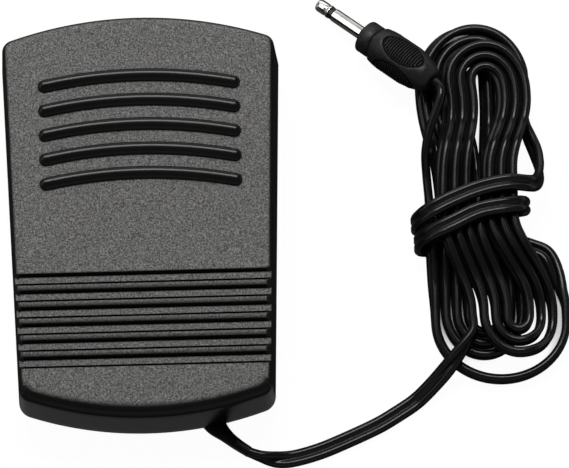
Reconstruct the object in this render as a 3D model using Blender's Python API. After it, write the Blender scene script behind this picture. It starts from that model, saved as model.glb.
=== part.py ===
"""Foot pedal for a small sewing machine, with its flat flex folded into a hank and a jack plug.

Units are metres. X runs across the pedal, Y from the low heel end to the high toe end, Z up.
The origin lies on the table under the middle of the pedal.
"""

import math

import bmesh
import bpy
from mathutils import Matrix, Vector

# ---------------------------------------------------------------- treadle cover
LENGTH = 0.1034
TOE_WIDTH = 0.0716
HEEL_WIDTH = 0.0647
TOE_HEIGHT = 0.0320
HEEL_HEIGHT = 0.0200
TOE_ARC_RADIUS = 0.105
HEEL_ARC_RADIUS = 0.093
CORNER_RADIUS = 0.0040
WALL_LEAN = math.radians(3.0)
HEEL_SOFTNESS = 0.45          # how much rounder and more sloped the heel edge is
EDGE_ROUND = 0.0015
COVER_WALL = 0.0020
COVER_TOP = 0.0022
SKIRT_LIFT_TOE = 0.0110       # the cover's lower edge above the table
SKIRT_LIFT_HEEL = 0.0046

RIB_COUNT = 5
RIB_PITCH = 0.0062
RIB_WIDTH = 0.0033
RIB_HEIGHT = 0.0010
RIB_SHOULDER = 0.0001         # upright edge below the round top
RIB_SPAN = 0.0516
RIB_ARC_RADIUS = 0.1230
FIRST_RIB_FROM_TOE = 0.0160

GROOVE_COUNT = 6
GROOVE_PITCH = 0.00418
GROOVE_FLOOR = 0.0016
GROOVE_MOUTH = 0.0026
GROOVE_DEPTH = 0.00055
LAST_GROOVE_FROM_HEEL = 0.0153

# ---------------------------------------------------------------- base tray
FOOT_CLEARANCE = 0.0015       # underside of the tray above the table
FLOOR = 0.0020
BASE_WALL = 0.0018
BASE_EDGE = 0.0006            # chamfer round the underside
SKIRT_GAP = 0.0009            # between the tray and the inside of the cover
RIM_HEIGHT_TOE = 0.0185
RIM_HEIGHT_HEEL = 0.0090

FIT_GAP = 0.0003              # between pieces that touch
SINK = 0.0006                 # how far a fused feature runs into its carrier

# ---------------------------------------------------------------- hinge
HINGE_FROM_HEEL = 0.0115
HINGE_HEIGHT = 0.0100
PIN_RADIUS = 0.0015
EAR_RADIUS = 0.0034
EAR_THICKNESS = 0.0030
LUG_X = 0.0201                # middle of each lug under the cover
EAR_X = 0.0237                # middle of each ear on the tray
PIN_OVERHANG = 0.0004

# ---------------------------------------------------------------- stop hooks
HOOK_X = 0.0180
HOOK_WIDTH = 0.0080
HOOK_THICKNESS = 0.0020
HOOK_BARB = 0.0024
HOOK_HEIGHT = 0.0032          # of the barb
HOOK_CLEARANCE = 0.0012       # between the tongue and the ledge's edge
LEDGE_REACH = 0.0022
LEDGE_THICKNESS = 0.0018
LEDGE_HEIGHT = 0.0145         # underside of the ledge

# ---------------------------------------------------------------- return spring
SPRING_Y = 0.0270
SPRING_RADIUS = 0.0042
SPRING_WIRE = 0.00045
SPRING_TURNS = 7
SPRING_POINTS = 10
SPRING_POST_RADIUS = 0.0026
SPRING_POST_HEIGHT = 0.0040
SPRING_SEAT_RADIUS = 0.0052
SPRING_SEAT_DROP = 0.0016

# ---------------------------------------------------------------- rubber feet
FOOT_RADIUS = 0.0045
FOOT_RECESS = 0.0005
FOOT_STEM_RADIUS = 0.0014
FOOT_BARB_RADIUS = 0.0021
FOOT_BARB_HEIGHT = 0.0014
TOE_FOOT_X = 0.0250
TOE_FOOT_FROM_TOE = 0.0130
HEEL_FOOT_X = 0.0245
HEEL_FOOT_FROM_HEEL = 0.0242

# ---------------------------------------------------------------- switch
SWITCH_X = -0.0090
SWITCH_Y = -0.0110
SWITCH_LENGTH = 0.0200
SWITCH_DEPTH = 0.0064
SWITCH_BOTTOM = 0.0084
SWITCH_HEIGHT = 0.0086
SWITCH_WALL = 0.0010
SWITCH_FLOOR = 0.0035         # solid lower part, which the screws pass through
SWITCH_LID = 0.0008
SWITCH_SCREW_SPACING = 0.0072
SWITCH_SCREW_RISE = 0.0017
BRACKET_THICKNESS = 0.0029
BRACKET_MARGIN = 0.0010
BRACKET_HEIGHT = 0.0120
TERMINAL_OFFSET = 0.0070      # each side of the switch's middle
TERMINAL_THICKNESS = 0.0006
TERMINAL_WIDTH = 0.0026
TERMINAL_HEAD = 0.0024
TERMINAL_HEAD_HEIGHT = 0.0005
TERMINAL_DROP = 0.0038
SLOT_GAP = 0.00025
CONTACT_RISE = 0.0010         # fixed contact above the floor of the switch's cavity
CONTACT_GAP = 0.0009
BLADE_THICKNESS = 0.0003
BLADE_WIDTH = 0.0024
BLADE_OVERHANG = 0.0010
PLUNGER_OFFSET = -0.0050
PLUNGER_RADIUS = 0.0011
PLUNGER_COLLAR_RADIUS = 0.0017
PLUNGER_COLLAR_HEIGHT = 0.0011
LEVER_PIVOT_OFFSET = -0.0085
LEVER_PIVOT_RISE = 0.0009
LEVER_PIN_RADIUS = 0.0005
LEVER_EAR_RADIUS = 0.0014
LEVER_EAR_THICKNESS = 0.0008
LEVER_LENGTH = 0.0145
LEVER_WIDTH = 0.0036
LEVER_THICKNESS = 0.0004
LEVER_ANGLE = math.radians(13.4)
PUSHER_ARM = 0.0130           # from the lever's pivot to the pusher under the cover
PUSHER_WIDTH = 0.0034
PUSHER_RADIUS = 0.0008

# ---------------------------------------------------------------- screws
SCREW_RADIUS = 0.00095
SCREW_HOLE = 0.00125
SCREW_HEAD_RADIUS = 0.0019
SCREW_HEAD_HEIGHT = 0.0012
SCREW_SLOT_WIDTH = 0.0006
SCREW_SLOT_DEPTH = 0.0006
CLAMP_SCREW_LENGTH = 0.0058
SWITCH_SCREW_LENGTH = 0.0106

# ---------------------------------------------------------------- cord fittings
CORD_WIDTH = 0.0044           # the flex is two cores side by side
CORD_THICKNESS = 0.0022
CORD_X = 0.0164
GROMMET_HALF_WIDTH = 0.0032
GROMMET_HALF_HEIGHT = 0.00145
GROMMET_Z = 0.00295
FLANGE_MARGIN = 0.0010
FLANGE_THICKNESS = 0.0010
GROMMET_BEND_Y = -0.0490
# Each section of the bend outside: aside, y, z, half width, half height, heading in degrees.
GROMMET_BEND = ((0.0005, -0.0506, 0.00285, 0.0031, 0.00145, -66),
                (0.0019, -0.0520, 0.0027, 0.0029, 0.0016, -47),
                (0.0040, -0.0534, 0.0023, 0.0026, 0.0020, -36))
GROMMET_SQUARENESS = 0.6
CORD_POCKET = 0.0072          # length of the opening in the floor behind the heel wall
CLAMP_FROM_HEEL = 0.0187
CLAMP_SPACING = 0.0104
CLAMP_MARGIN = 0.0028
CLAMP_WIDTH = 0.0050
CLAMP_THICKNESS = 0.0020
CLAMP_RIDGE_WIDTH = 0.0020
CLAMP_BOSS_RADIUS = 0.0023
CLAMP_BOSS_HEIGHT = 0.0031
BOSS_FLOOR = 0.0011           # left under the clamp's screws
INNER_CORD_Z = 0.0050
INNER_CORD_END = 0.0229       # from the heel
INNER_CORD_LEVEL = 0.00176    # straight start inside the wall
INNER_CORD_RISE = 0.0038      # length over which it rises to the clamp
INNER_CORD_STEP = 0.0012
WIRE_RADIUS = 0.0006
WIRE_LIFT = 0.0011            # of its middle above the tray's floor
WIRE_STUB = 0.0012            # straight piece at each end
WIRE_STEP = 0.0016
WIRE_BENDS = {"contact": ((0.0080, -0.0250), (-0.0020, -0.0210)),
              "common": ((0.0140, -0.0200), (0.0040, -0.0080), (-0.0030, -0.0046))}
SOLDER_RADIUS = 0.0011
SOLDER_LENGTH = 0.0010

# ---------------------------------------------------------------- the hank
HANK_MIDDLE_Y = 0.0080        # the waist
LOOP_STEP = 0.0029            # between the ends of neighbouring loops
END_FLARE = 0.45              # steps by which each end opens past its runs
HANK_Z = 0.00225              # middle of the lower layer, which stands on edge
LAYER_STEP = 0.0054
WAIST_LIFT = 0.0027           # room for the wrap to pass underneath
HANK_TURNS = 6.5              # the half turn at which the spiral reverses
LOOP_POINTS = 24
CAP_SHARE = 2.6               # more of a loop's points go to its bends
GAP_POINTS = 72               # to a loop where its gaps are measured
HANK_START = 0.22             # in half turns
HANK_END = 13.25
RETURN_START = 13.72
RETURN_END = 14.5
APPROACH_STEP = 0.0030        # spacing of the points along each stretch
LEAD_STEP = 0.0085
WRAP_STEP = 0.0027
HOOK_STEP = 0.0024
WRAP_START_GAP = 0.00045      # where one stretch of the flex is parted from the next
WRAP_END_GAP = 0.00075
TAIL_GAP = 0.00075
TAIL_STRAIGHT = 0.0008        # of the flex behind the plug

# Each table gives (y, value): the middle line of a set of loops, and the step between its runs.
UPPER = {"middle": ((-0.036, 0.0943), (-0.022, 0.0939), (0.002, 0.0852), (0.014, 0.0852),
                    (0.032, 0.0884), (0.044, 0.0873)),
         "step": ((-0.020, 0.0030), (0.006, 0.0030), (0.030, 0.0028), (0.044, 0.0029)),
         "top": 0.0476, "bottom": -0.0352, "outermost": 3.0, "cap": 1.15}
LOWER = {"middle": ((-0.038, 0.0859), (-0.020, 0.0859), (0.006, 0.0852), (0.038, 0.0843)),
         "step": ((-0.020, 0.0028), (0.006, 0.0030), (0.038, 0.0034)),
         "top": 0.0548, "bottom": -0.0360, "outermost": 4.0, "cap": 1.15}
OUTER = {"middle": ((-0.038, 0.0900), (-0.020, 0.0902), (0.002, 0.0852), (0.038, 0.0843)),
         "step": ((-0.020, 0.00375), (0.002, 0.0030), (0.038, 0.0031)),
         "top": 0.0548, "bottom": -0.0395, "outermost": 4.0, "cap": 0.90}

LEAD_ROUTE = ((0.02065, -0.0536, 0.00225), (0.0230, -0.0552, 0.00225), (0.0257, -0.0568, 0.00225),
              (0.0307, -0.0585, 0.00225), (0.0358, -0.0586, 0.00225), (0.0432, -0.0568, 0.00225),
              (0.0511, -0.0537, 0.00225), (0.0587, -0.0503, 0.00225), (0.0639, -0.0473, 0.00225))
HANK_APPROACH = ((0.0642, -0.0471, 0.00225), (0.0672, -0.0452, 0.0023), (0.0700, -0.0430, 0.0027),
                 (0.0748, -0.0386, 0.0055), (0.0784, -0.0347, 0.0075), (0.0813, -0.0308, 0.0077))
WRAP_ROUTE = ((0.0984, 0.0290, 0.0022), (0.0991, 0.0250, 0.0030), (0.1009, 0.0195, 0.0046),
              (0.1017, 0.0140, 0.0070), (0.1006, 0.0100, 0.0104), (0.0979, 0.0092, 0.0131),
              (0.0930, 0.0094, 0.0141), (0.0855, 0.0079, 0.0141), (0.0780, 0.0050, 0.0141),
              (0.0724, 0.0022, 0.0133), (0.0696, 0.0008, 0.0098), (0.0693, 0.0006, 0.0054),
              (0.0697, 0.0007, 0.0025), (0.0716, 0.0010, 0.0013), (0.0770, 0.0022, 0.0012),
              (0.0855, 0.0044, 0.0012), (0.0925, 0.0054, 0.0012), (0.0958, 0.0054, 0.0014),
              (0.0975, 0.0051, 0.0034), (0.0979, 0.0044, 0.0080), (0.0970, 0.0039, 0.0124),
              (0.0930, 0.0034, 0.0141), (0.0855, 0.0022, 0.0141), (0.0785, -0.0010, 0.0141),
              (0.0731, -0.0032, 0.0129), (0.0702, -0.0042, 0.0092), (0.0700, -0.0045, 0.0052),
              (0.0702, -0.0045, 0.0026), (0.0720, -0.0045, 0.0013), (0.0775, -0.0040, 0.0012),
              (0.0860, -0.0034, 0.0012), (0.0940, -0.0034, 0.0012), (0.0995, -0.0050, 0.0014),
              (0.1036, -0.0080, 0.0020))
RETURN_HOOK = ((0.0727, 0.0140, 0.0056), (0.0725, 0.0190, 0.0084), (0.0735, 0.0240, 0.0105),
               (0.0747, 0.0272, 0.0113), (0.0759, 0.0301, 0.0118), (0.0769, 0.0328, 0.0122),
               (0.0771, 0.0348, 0.0120))

# ---------------------------------------------------------------- plug
COLLAR_AT = (0.0581, 0.0515, 0.00537)     # middle of the collar's face
PLUG_YAW = math.radians(140.0)            # the way the jack points
PLUG_DIP = math.radians(14.0)
PLUG_BODY = 0.0226
PLUG_RADIUS = 0.0054
COLLAR_RADIUS = 0.0044
COLLAR_LENGTH = 0.0036
TAIL_RADIUS = 0.0026
# Radius and distance behind the collar's face: the groove, the swelling and the tail.
PLUG_SHAPE = ((0.0039, 0.0038), (0.0039, 0.0042), (0.0049, 0.0046), (0.0052, 0.0062), (PLUG_RADIUS, 0.0082),
              (PLUG_RADIUS, 0.0150), (0.0050, 0.0178), (0.0041, 0.0205), (0.0032, 0.0220))
JACK_LENGTH = 0.0160
JACK_RADIUS = 0.00175
JACK_BORE = 0.0013
JACK_ANCHOR = 0.0100
INSULATOR_RADIUS = 0.0010
INSULATOR_WALL = 0.00025
RING_LENGTH = 0.0008
RING_RADIUS = 0.0016
TIP_LENGTH = 0.0042
TIP_ROD_RADIUS = 0.00045
TIP_WAIST_RADIUS = 0.00145
TIP_END_RADIUS = 0.0007

# ---------------------------------------------------------------- derived places
HALF = LENGTH / 2
HINGE_Y = -HALF + HINGE_FROM_HEEL
FLOOR_TOP = FOOT_CLEARANCE + FLOOR
BASE_INSET = COVER_WALL + SKIRT_GAP
FEET = {"toe_left": (-TOE_FOOT_X, HALF - TOE_FOOT_FROM_TOE),
        "toe_right": (TOE_FOOT_X, HALF - TOE_FOOT_FROM_TOE),
        "heel_left": (-HEEL_FOOT_X, -HALF + HEEL_FOOT_FROM_HEEL),
        "heel_right": (HEEL_FOOT_X, -HALF + HEEL_FOOT_FROM_HEEL)}
SWITCH_TOP = SWITCH_BOTTOM + SWITCH_HEIGHT
CAVITY_FLOOR = SWITCH_BOTTOM + SWITCH_FLOOR
CONTACT_TOP = CAVITY_FLOOR + CONTACT_RISE
BLADE_BOTTOM = CONTACT_TOP + CONTACT_GAP
BLADE_MIDDLE = BLADE_BOTTOM + BLADE_THICKNESS / 2
PLUNGER_BOTTOM = BLADE_BOTTOM + BLADE_THICKNESS + FIT_GAP
COMMON_Y = SWITCH_Y + TERMINAL_OFFSET
CONTACT_Y = SWITCH_Y - TERMINAL_OFFSET
PLUNGER_Y = SWITCH_Y + PLUNGER_OFFSET
LEVER_PIVOT_Y = SWITCH_Y + LEVER_PIVOT_OFFSET
LEVER_PIVOT_Z = SWITCH_TOP + LEVER_PIVOT_RISE
PUSHER_Y = LEVER_PIVOT_Y + PUSHER_ARM
CASE_LEFT = SWITCH_X - SWITCH_DEPTH / 2
CASE_RIGHT = SWITCH_X + SWITCH_DEPTH / 2
BRACKET_RIGHT = CASE_LEFT - FIT_GAP
LID_LEFT = CASE_RIGHT + FIT_GAP
SWITCH_SCREW_Z = SWITCH_BOTTOM + SWITCH_SCREW_RISE
CLAMP_Y = -HALF + CLAMP_FROM_HEEL
CLAMP_BOTTOM = FLOOR_TOP + CLAMP_BOSS_HEIGHT + FIT_GAP
CLAMP_TOP = CLAMP_BOTTOM + CLAMP_THICKNESS


CURVE_PIECES = 24             # steps of a smooth route between two of its points


# ================================================================ helpers
def clear_scene():
    for obj in list(bpy.data.objects):
        bpy.data.objects.remove(obj, do_unlink=True)


def material(name, color, roughness, metallic=0.0):
    mat = bpy.data.materials.new(name)
    mat.use_nodes = True
    shader = mat.node_tree.nodes["Principled BSDF"]
    shader.inputs["Base Color"].default_value = (*color, 1.0)
    shader.inputs["Roughness"].default_value = roughness
    shader.inputs["Metallic"].default_value = metallic
    return mat


def black_plastic(name, shade=0.030, roughness=0.55):
    return material(name, (shade, shade, shade), roughness)


def steel(name):
    return material(name, (0.62, 0.62, 0.61), 0.28, 1.0)


def brass(name):
    return material(name, (0.78, 0.60, 0.32), 0.32, 1.0)


def empty(name, place):
    obj = bpy.data.objects.new(name, None)
    bpy.context.scene.collection.objects.link(obj)
    obj.empty_display_size = 0.004
    obj.location = place
    return obj


def finish(name, bm, mat, parent=None, local=False):
    """Make an object of a bmesh, which is in world coordinates or, if local, in its parent's."""
    bmesh.ops.recalc_face_normals(bm, faces=bm.faces)
    if parent and not local:
        bmesh.ops.translate(bm, verts=bm.verts, vec=-parent.location)
    mesh = bpy.data.meshes.new(name)
    bm.to_mesh(mesh)
    bm.free()
    mesh.shade_smooth()
    mesh.set_sharp_from_angle(angle=math.radians(32))
    if mat:
        mesh.materials.append(mat)
    obj = bpy.data.objects.new(name, mesh)
    obj.parent = parent
    bpy.context.scene.collection.objects.link(obj)
    return obj


def combine(target, tool_bm, operation, name):
    tool = finish(f"{target.name}_{name}", tool_bm, None, target.parent)
    tool.hide_render = True
    tool.display_type = 'WIRE'
    mod = target.modifiers.new(name, 'BOOLEAN')
    mod.operation = operation
    mod.solver = 'EXACT'
    mod.object = tool


def fuse(target, tool_bm, name):
    combine(target, tool_bm, 'UNION', "with_" + name)


def cut(target, tool_bm, name):
    combine(target, tool_bm, 'DIFFERENCE', "less_" + name)


def box(low, high):
    bm = bmesh.new()
    low, high = Vector(low), Vector(high)
    place = Matrix.Translation((low + high) / 2) @ Matrix.Diagonal((*(high - low), 1.0))
    bmesh.ops.create_cube(bm, size=1.0, matrix=place)
    return bm


def frame_along(place, axis):
    """A matrix that puts local Z along axis, at place."""
    turn = Vector((0, 0, 1)).rotation_difference(Vector(axis).normalized())
    return Matrix.Translation(place) @ turn.to_matrix().to_4x4()


def circle_verts(bm, radius, height, segments):
    if radius == 0:
        return [bm.verts.new((0, 0, height))] * segments
    angles = [2 * math.pi * i / segments for i in range(segments)]
    return [bm.verts.new((radius * math.cos(a), radius * math.sin(a), height)) for a in angles]


def turned(profile, place=(0, 0, 0), axis=(0, 0, 1), segments=20):
    """A turned solid from (radius, height) pairs: from axis to axis, or a closed ring."""
    bm = bmesh.new()
    rings = [circle_verts(bm, radius, height, segments) for radius, height in profile]
    if profile[0][0] > 0:
        rings.append(rings[0])
    for lower, upper in zip(rings, rings[1:]):
        for i in range(segments):
            j = (i + 1) % segments
            corners = list(dict.fromkeys((lower[i], lower[j], upper[j], upper[i])))
            bm.faces.new(corners)
    bmesh.ops.transform(bm, matrix=frame_along(place, axis), verts=bm.verts)
    return bm


def rod(radius, start, end, segments=20):
    start, end = Vector(start), Vector(end)
    length = (end - start).length
    return turned([(0, 0), (radius, 0), (radius, length), (0, length)], start, end - start, segments)


def prism(points, axis, start, end):
    """A polygon pushed along one axis; its points give the other two coordinates in order."""
    bm = bmesh.new()
    ends = []
    for along in (start, end):
        places = [list(p) for p in points]
        for place in places:
            place.insert(axis, along)
        ends.append([bm.verts.new(place) for place in places])
    bm.faces.new(ends[0])
    bm.faces.new(ends[1])
    for i in range(len(points)):
        j = (i + 1) % len(points)
        bm.faces.new((ends[0][i], ends[0][j], ends[1][j], ends[1][i]))
    return bm


def loft(rings):
    """A closed solid through rings of as many points each, capped at both ends."""
    bm = bmesh.new()
    rows = [[bm.verts.new(p) for p in ring] for ring in rings]
    count = len(rows[0])
    for lower, upper in zip(rows, rows[1:]):
        for i in range(count):
            j = (i + 1) % count
            bm.faces.new((lower[i], lower[j], upper[j], upper[i]))
    bm.faces.new(rows[0])
    bm.faces.new(rows[-1])
    return bm


def smooth_step(t):
    t = max(0.0, min(1.0, t))
    return t * t * (3 - 2 * t)


def from_table(table, y):
    """The value at y, eased from one entry to the next."""
    if y <= table[0][0]:
        return table[0][1]
    for (y0, v0), (y1, v1) in zip(table, table[1:]):
        if y <= y1:
            return v0 + (v1 - v0) * smooth_step((y - y0) / (y1 - y0))
    return table[-1][1]


def dense_curve(points):
    """Points on a Catmull-Rom curve through the points given."""
    pts = [Vector(p) for p in points]
    pts = [2 * pts[0] - pts[1]] + pts + [2 * pts[-1] - pts[-2]]
    dense = []
    for p0, p1, p2, p3 in zip(pts, pts[1:], pts[2:], pts[3:]):
        for k in range(CURVE_PIECES):
            t = k / CURVE_PIECES
            dense.append(0.5 * (2 * p1 + (p2 - p0) * t + (2 * p0 - 5 * p1 + 4 * p2 - p3) * t * t
                                + (3 * p1 - p0 - 3 * p2 + p3) * t * t * t))
    dense.append(pts[-2])
    return dense


def path_length(path):
    return sum((b - a).length for a, b in zip(path, path[1:]))


def even_points(path, spacing):
    """Points an even distance apart along a dense path, with both of its ends."""
    total = path_length(path)
    count = max(2, round(total / spacing))
    points, travelled = [path[0]], 0.0
    for a, b in zip(path, path[1:]):
        step = (b - a).length
        while len(points) < count and travelled + step >= total * len(points) / count:
            points.append(a.lerp(b, (total * len(points) / count - travelled) / step))
        travelled += step
    return points + [path[-1]]


def tube(name, route, radius, resolution, mat, stretch=(1, 1, 1), upright=True):
    """A tube along a route. A stretch across the route gives the flat flex's section."""
    curve = bpy.data.curves.new(name, 'CURVE')
    curve.dimensions = '3D'
    curve.bevel_depth = radius
    curve.bevel_resolution = resolution
    curve.use_fill_caps = True
    curve.twist_mode = 'Z_UP' if upright else 'MINIMUM'
    spline = curve.splines.new('POLY')
    spline.points.add(len(route) - 1)
    for point, place in zip(spline.points, route):
        point.co = (place[0] / stretch[0], place[1] / stretch[1], place[2] / stretch[2], 1.0)
    curve.materials.append(mat)
    obj = bpy.data.objects.new(name, curve)
    obj.scale = stretch
    bpy.context.scene.collection.objects.link(obj)
    return obj


# ================================================================ plan outline and heights
def sloped(heel, toe, y):
    return heel + (toe - heel) * (y + HALF) / LENGTH


def top_z(y):
    return sloped(HEEL_HEIGHT, TOE_HEIGHT, y)


def skirt_z(y):
    return sloped(SKIRT_LIFT_HEEL, SKIRT_LIFT_TOE, y)


def rim_z(y):
    return sloped(RIM_HEIGHT_HEEL, RIM_HEIGHT_TOE, y)


def ceiling_z(y):
    return top_z(y) - COVER_TOP


def toe_wall_y(x, inset):
    radius = TOE_ARC_RADIUS - inset
    return HALF - TOE_ARC_RADIUS + math.sqrt(radius * radius - x * x)


def heel_wall_y(x, inset):
    radius = HEEL_ARC_RADIUS - inset
    return -HALF + HEEL_ARC_RADIUS - math.sqrt(radius * radius - x * x)


def arc_points(centre, radius, start, end, steps):
    turns = [start + (end - start) * i / steps for i in range(steps + 1)]
    return [Vector((centre[0] + radius * math.cos(a), centre[1] + radius * math.sin(a))) for a in turns]


def along_line_at(base, direction, centre, reach, sign):
    """Where a line leaves the circle of radius reach round centre."""
    offset = base - centre
    b = offset.dot(direction)
    return base + direction * (-b + sign * math.sqrt(b * b - offset.dot(offset) + reach * reach))


def outline(inset):
    """The plan outline moved in by inset, anticlockwise from the middle of the heel."""
    arc_steps, corner_steps = 7, 4
    corner = max(CORNER_RADIUS - inset, 0.0006)
    heel = Vector((0, -HALF + HEEL_ARC_RADIUS))
    toe = Vector((0, HALF - TOE_ARC_RADIUS))
    heel_radius, toe_radius = HEEL_ARC_RADIUS - inset, TOE_ARC_RADIUS - inset
    side = Vector(((TOE_WIDTH - HEEL_WIDTH) / 2, LENGTH)).normalized()
    inward = Vector((-side.y, side.x))
    base = Vector((HEEL_WIDTH / 2, -HALF)) + inward * (inset + corner)
    low = along_line_at(base, side, heel, heel_radius - corner, -1)
    high = along_line_at(base, side, toe, toe_radius - corner, 1)
    out_angle = math.atan2(-inward.y, -inward.x)
    low_angle = math.atan2(low.y - heel.y, low.x)
    high_angle = math.atan2(high.y - toe.y, high.x)
    right = arc_points(heel, heel_radius, -math.pi / 2, low_angle, arc_steps)
    right += arc_points(low, corner, low_angle, out_angle, corner_steps)[1:]
    right += arc_points(high, corner, out_angle, high_angle, corner_steps)
    right += arc_points(toe, toe_radius, high_angle, math.pi / 2, arc_steps)[1:]
    return right + [Vector((-p.x, p.y)) for p in reversed(right[1:-1])]


def wall_ring(inset, height, run=0.0):
    """A ring of a wall at a height that follows y, leaning in above the skirt's edge."""
    probe = 0.0001
    ring = []
    for p, q in zip(outline(inset), outline(inset + probe)):
        inward = (q - p) / probe
        soft = 1 + (HEEL_SOFTNESS * max(0.0, inward.y) ** 2 if p.y < 0 else 0)
        lean = math.tan(WALL_LEAN) * (height(p.y) - skirt_z(p.y)) + run
        moved = p + inward * lean * soft
        ring.append(Vector((moved.x, moved.y, height(moved.y))))
    return ring


# ================================================================ treadle cover
def cover_shell():
    rings = [wall_ring(COVER_WALL, ceiling_z), wall_ring(COVER_WALL, skirt_z), wall_ring(0.0, skirt_z)]
    steps = 4
    for step in range(steps + 1):
        turn = math.pi / 2 * step / steps
        drop = EDGE_ROUND * (1 - math.sin(turn))
        run = EDGE_ROUND * (1 - math.cos(turn))
        rings.append(wall_ring(0.0, lambda y, d=drop: top_z(y) - d, run))
    return loft(rings)


def rib_section(along, size, apex_y):
    """A half round across the rib, at an angle along its arc."""
    sides = 6
    centre_y = apex_y - RIB_ARC_RADIUS
    ring = []
    for j in range(sides + 1):
        turn = math.pi * j / sides
        radius = RIB_ARC_RADIUS + size * RIB_WIDTH / 2 * math.cos(turn)
        y = centre_y + radius * math.cos(along)
        rise = RIB_SHOULDER + size * RIB_HEIGHT * math.sin(turn)
        ring.append(Vector((radius * math.sin(along), y, top_z(y) + rise)))
    feet = [ring[-1].copy(), ring[0].copy()]
    for foot in feet:
        foot.z -= SINK
    return ring + feet


def rib_bar(index):
    steps, end_steps = 12, 3
    apex_y = HALF - FIRST_RIB_FROM_TOE - RIB_PITCH * index
    end_angle = RIB_WIDTH / 2 / RIB_ARC_RADIUS
    reach = RIB_SPAN / 2 / RIB_ARC_RADIUS - end_angle
    stations = [(-reach + 2 * reach * k / steps, 1.0) for k in range(steps + 1)]
    for k in range(1, end_steps + 1):
        turn = math.radians(80) * k / end_steps
        beyond = reach + end_angle * math.sin(turn)
        stations.insert(0, (-beyond, math.cos(turn)))
        stations.append((beyond, math.cos(turn)))
    return loft([rib_section(along, size, apex_y) for along, size in stations])


def groove_cutter(index):
    """A bar that cuts one groove right across the face, open at both sides."""
    middle = -HALF + LAST_GROOVE_FROM_HEEL + GROOVE_PITCH * index
    flank = (GROOVE_MOUTH - GROOVE_FLOOR) / 2 / GROOVE_DEPTH
    points = []
    for half, rise in ((-GROOVE_FLOOR / 2, -GROOVE_DEPTH), (GROOVE_FLOOR / 2, -GROOVE_DEPTH),
                       (GROOVE_MOUTH / 2 + flank * SINK, SINK), (-GROOVE_MOUTH / 2 - flank * SINK, SINK)):
        points.append((middle + half, top_z(middle + half) + rise))
    return prism(points, 0, -TOE_WIDTH, TOE_WIDTH)


def eye_plate(middle, thickness, y, z, radius, flat_z):
    """A plate across X whose end is round about (y, z) and whose other end lies at flat_z."""
    start = math.pi if flat_z > z else 0.0
    steps = 10
    turns = [start + math.pi * i / steps for i in range(steps + 1)]
    points = [(y + radius * math.cos(a), z + radius * math.sin(a)) for a in turns]
    points += [(points[-1][0], flat_z), (points[0][0], flat_z)]
    return prism(points, 0, middle - thickness / 2, middle + thickness / 2)


def pin_bore(reach):
    radius = PIN_RADIUS + FIT_GAP
    return rod(radius, (-reach, HINGE_Y, HINGE_HEIGHT), (reach, HINGE_Y, HINGE_HEIGHT), 24)


def hook_wall_y():
    """Inside of the tray's toe wall at the outer corners of the stop hooks."""
    lean = math.tan(WALL_LEAN) * (RIM_HEIGHT_TOE - SKIRT_LIFT_TOE)
    return toe_wall_y(HOOK_X + HOOK_WIDTH / 2, BASE_INSET + BASE_WALL + lean)


def stop_hook(side):
    front = hook_wall_y() - LEDGE_REACH - HOOK_CLEARANCE
    back = front - HOOK_THICKNESS
    top = LEDGE_HEIGHT - FIT_GAP
    points = [(back, top - HOOK_HEIGHT), (front, top - HOOK_HEIGHT),
              (front + HOOK_BARB, top - HOOK_HEIGHT / 2),
              (front + HOOK_BARB, top), (front, top), (front, ceiling_z(front) + SINK),
              (back, ceiling_z(back) + SINK)]
    return prism(points, 0, side * HOOK_X - HOOK_WIDTH / 2, side * HOOK_X + HOOK_WIDTH / 2)


def spring_seat():
    root = ceiling_z(SPRING_Y) + 2 * SINK
    seat = ceiling_z(SPRING_Y) - SPRING_SEAT_DROP
    tip = seat - SPRING_POST_HEIGHT
    profile = [(0, tip), (SPRING_POST_RADIUS, tip), (SPRING_POST_RADIUS, seat), (SPRING_SEAT_RADIUS, seat),
               (SPRING_SEAT_RADIUS, root), (0, root)]
    return turned(profile, (0, SPRING_Y, 0))


def pusher():
    """The nose under the cover that presses the switch's lever."""
    rise = (LEVER_THICKNESS / 2 + FIT_GAP + PUSHER_RADIUS) / math.cos(LEVER_ANGLE)
    middle_z = LEVER_PIVOT_Z + PUSHER_ARM * math.tan(LEVER_ANGLE) + rise
    return eye_plate(SWITCH_X, PUSHER_WIDTH, PUSHER_Y, middle_z, PUSHER_RADIUS, ceiling_z(PUSHER_Y) + SINK)


def treadle_cover(hinge):
    cover = finish("treadle_cover", cover_shell(), black_plastic("cover_plastic", 0.055, 0.5), hinge)
    for index in range(RIB_COUNT):
        fuse(cover, rib_bar(index), f"rib_{index}")
    for side, name in ((-1, "left"), (1, "right")):
        lug_top = ceiling_z(HINGE_Y) + SINK
        fuse(cover, eye_plate(side * LUG_X, EAR_THICKNESS, HINGE_Y, HINGE_HEIGHT, EAR_RADIUS, lug_top),
             f"lug_{name}")
        fuse(cover, stop_hook(side), f"hook_{name}")
    fuse(cover, spring_seat(), "spring_seat")
    fuse(cover, pusher(), "pusher")
    for index in range(GROOVE_COUNT):
        cut(cover, groove_cutter(index), f"groove_{index}")
    cut(cover, pin_bore(LUG_X + EAR_THICKNESS), "pin_bore")


# ================================================================ base tray
def tray_shell():
    inner = BASE_INSET + BASE_WALL
    return loft([wall_ring(inner, lambda y: FLOOR_TOP), wall_ring(inner, rim_z), wall_ring(BASE_INSET, rim_z),
                 wall_ring(BASE_INSET, lambda y: FOOT_CLEARANCE + BASE_EDGE),
                 wall_ring(BASE_INSET + BASE_EDGE, lambda y: FOOT_CLEARANCE)])


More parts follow.
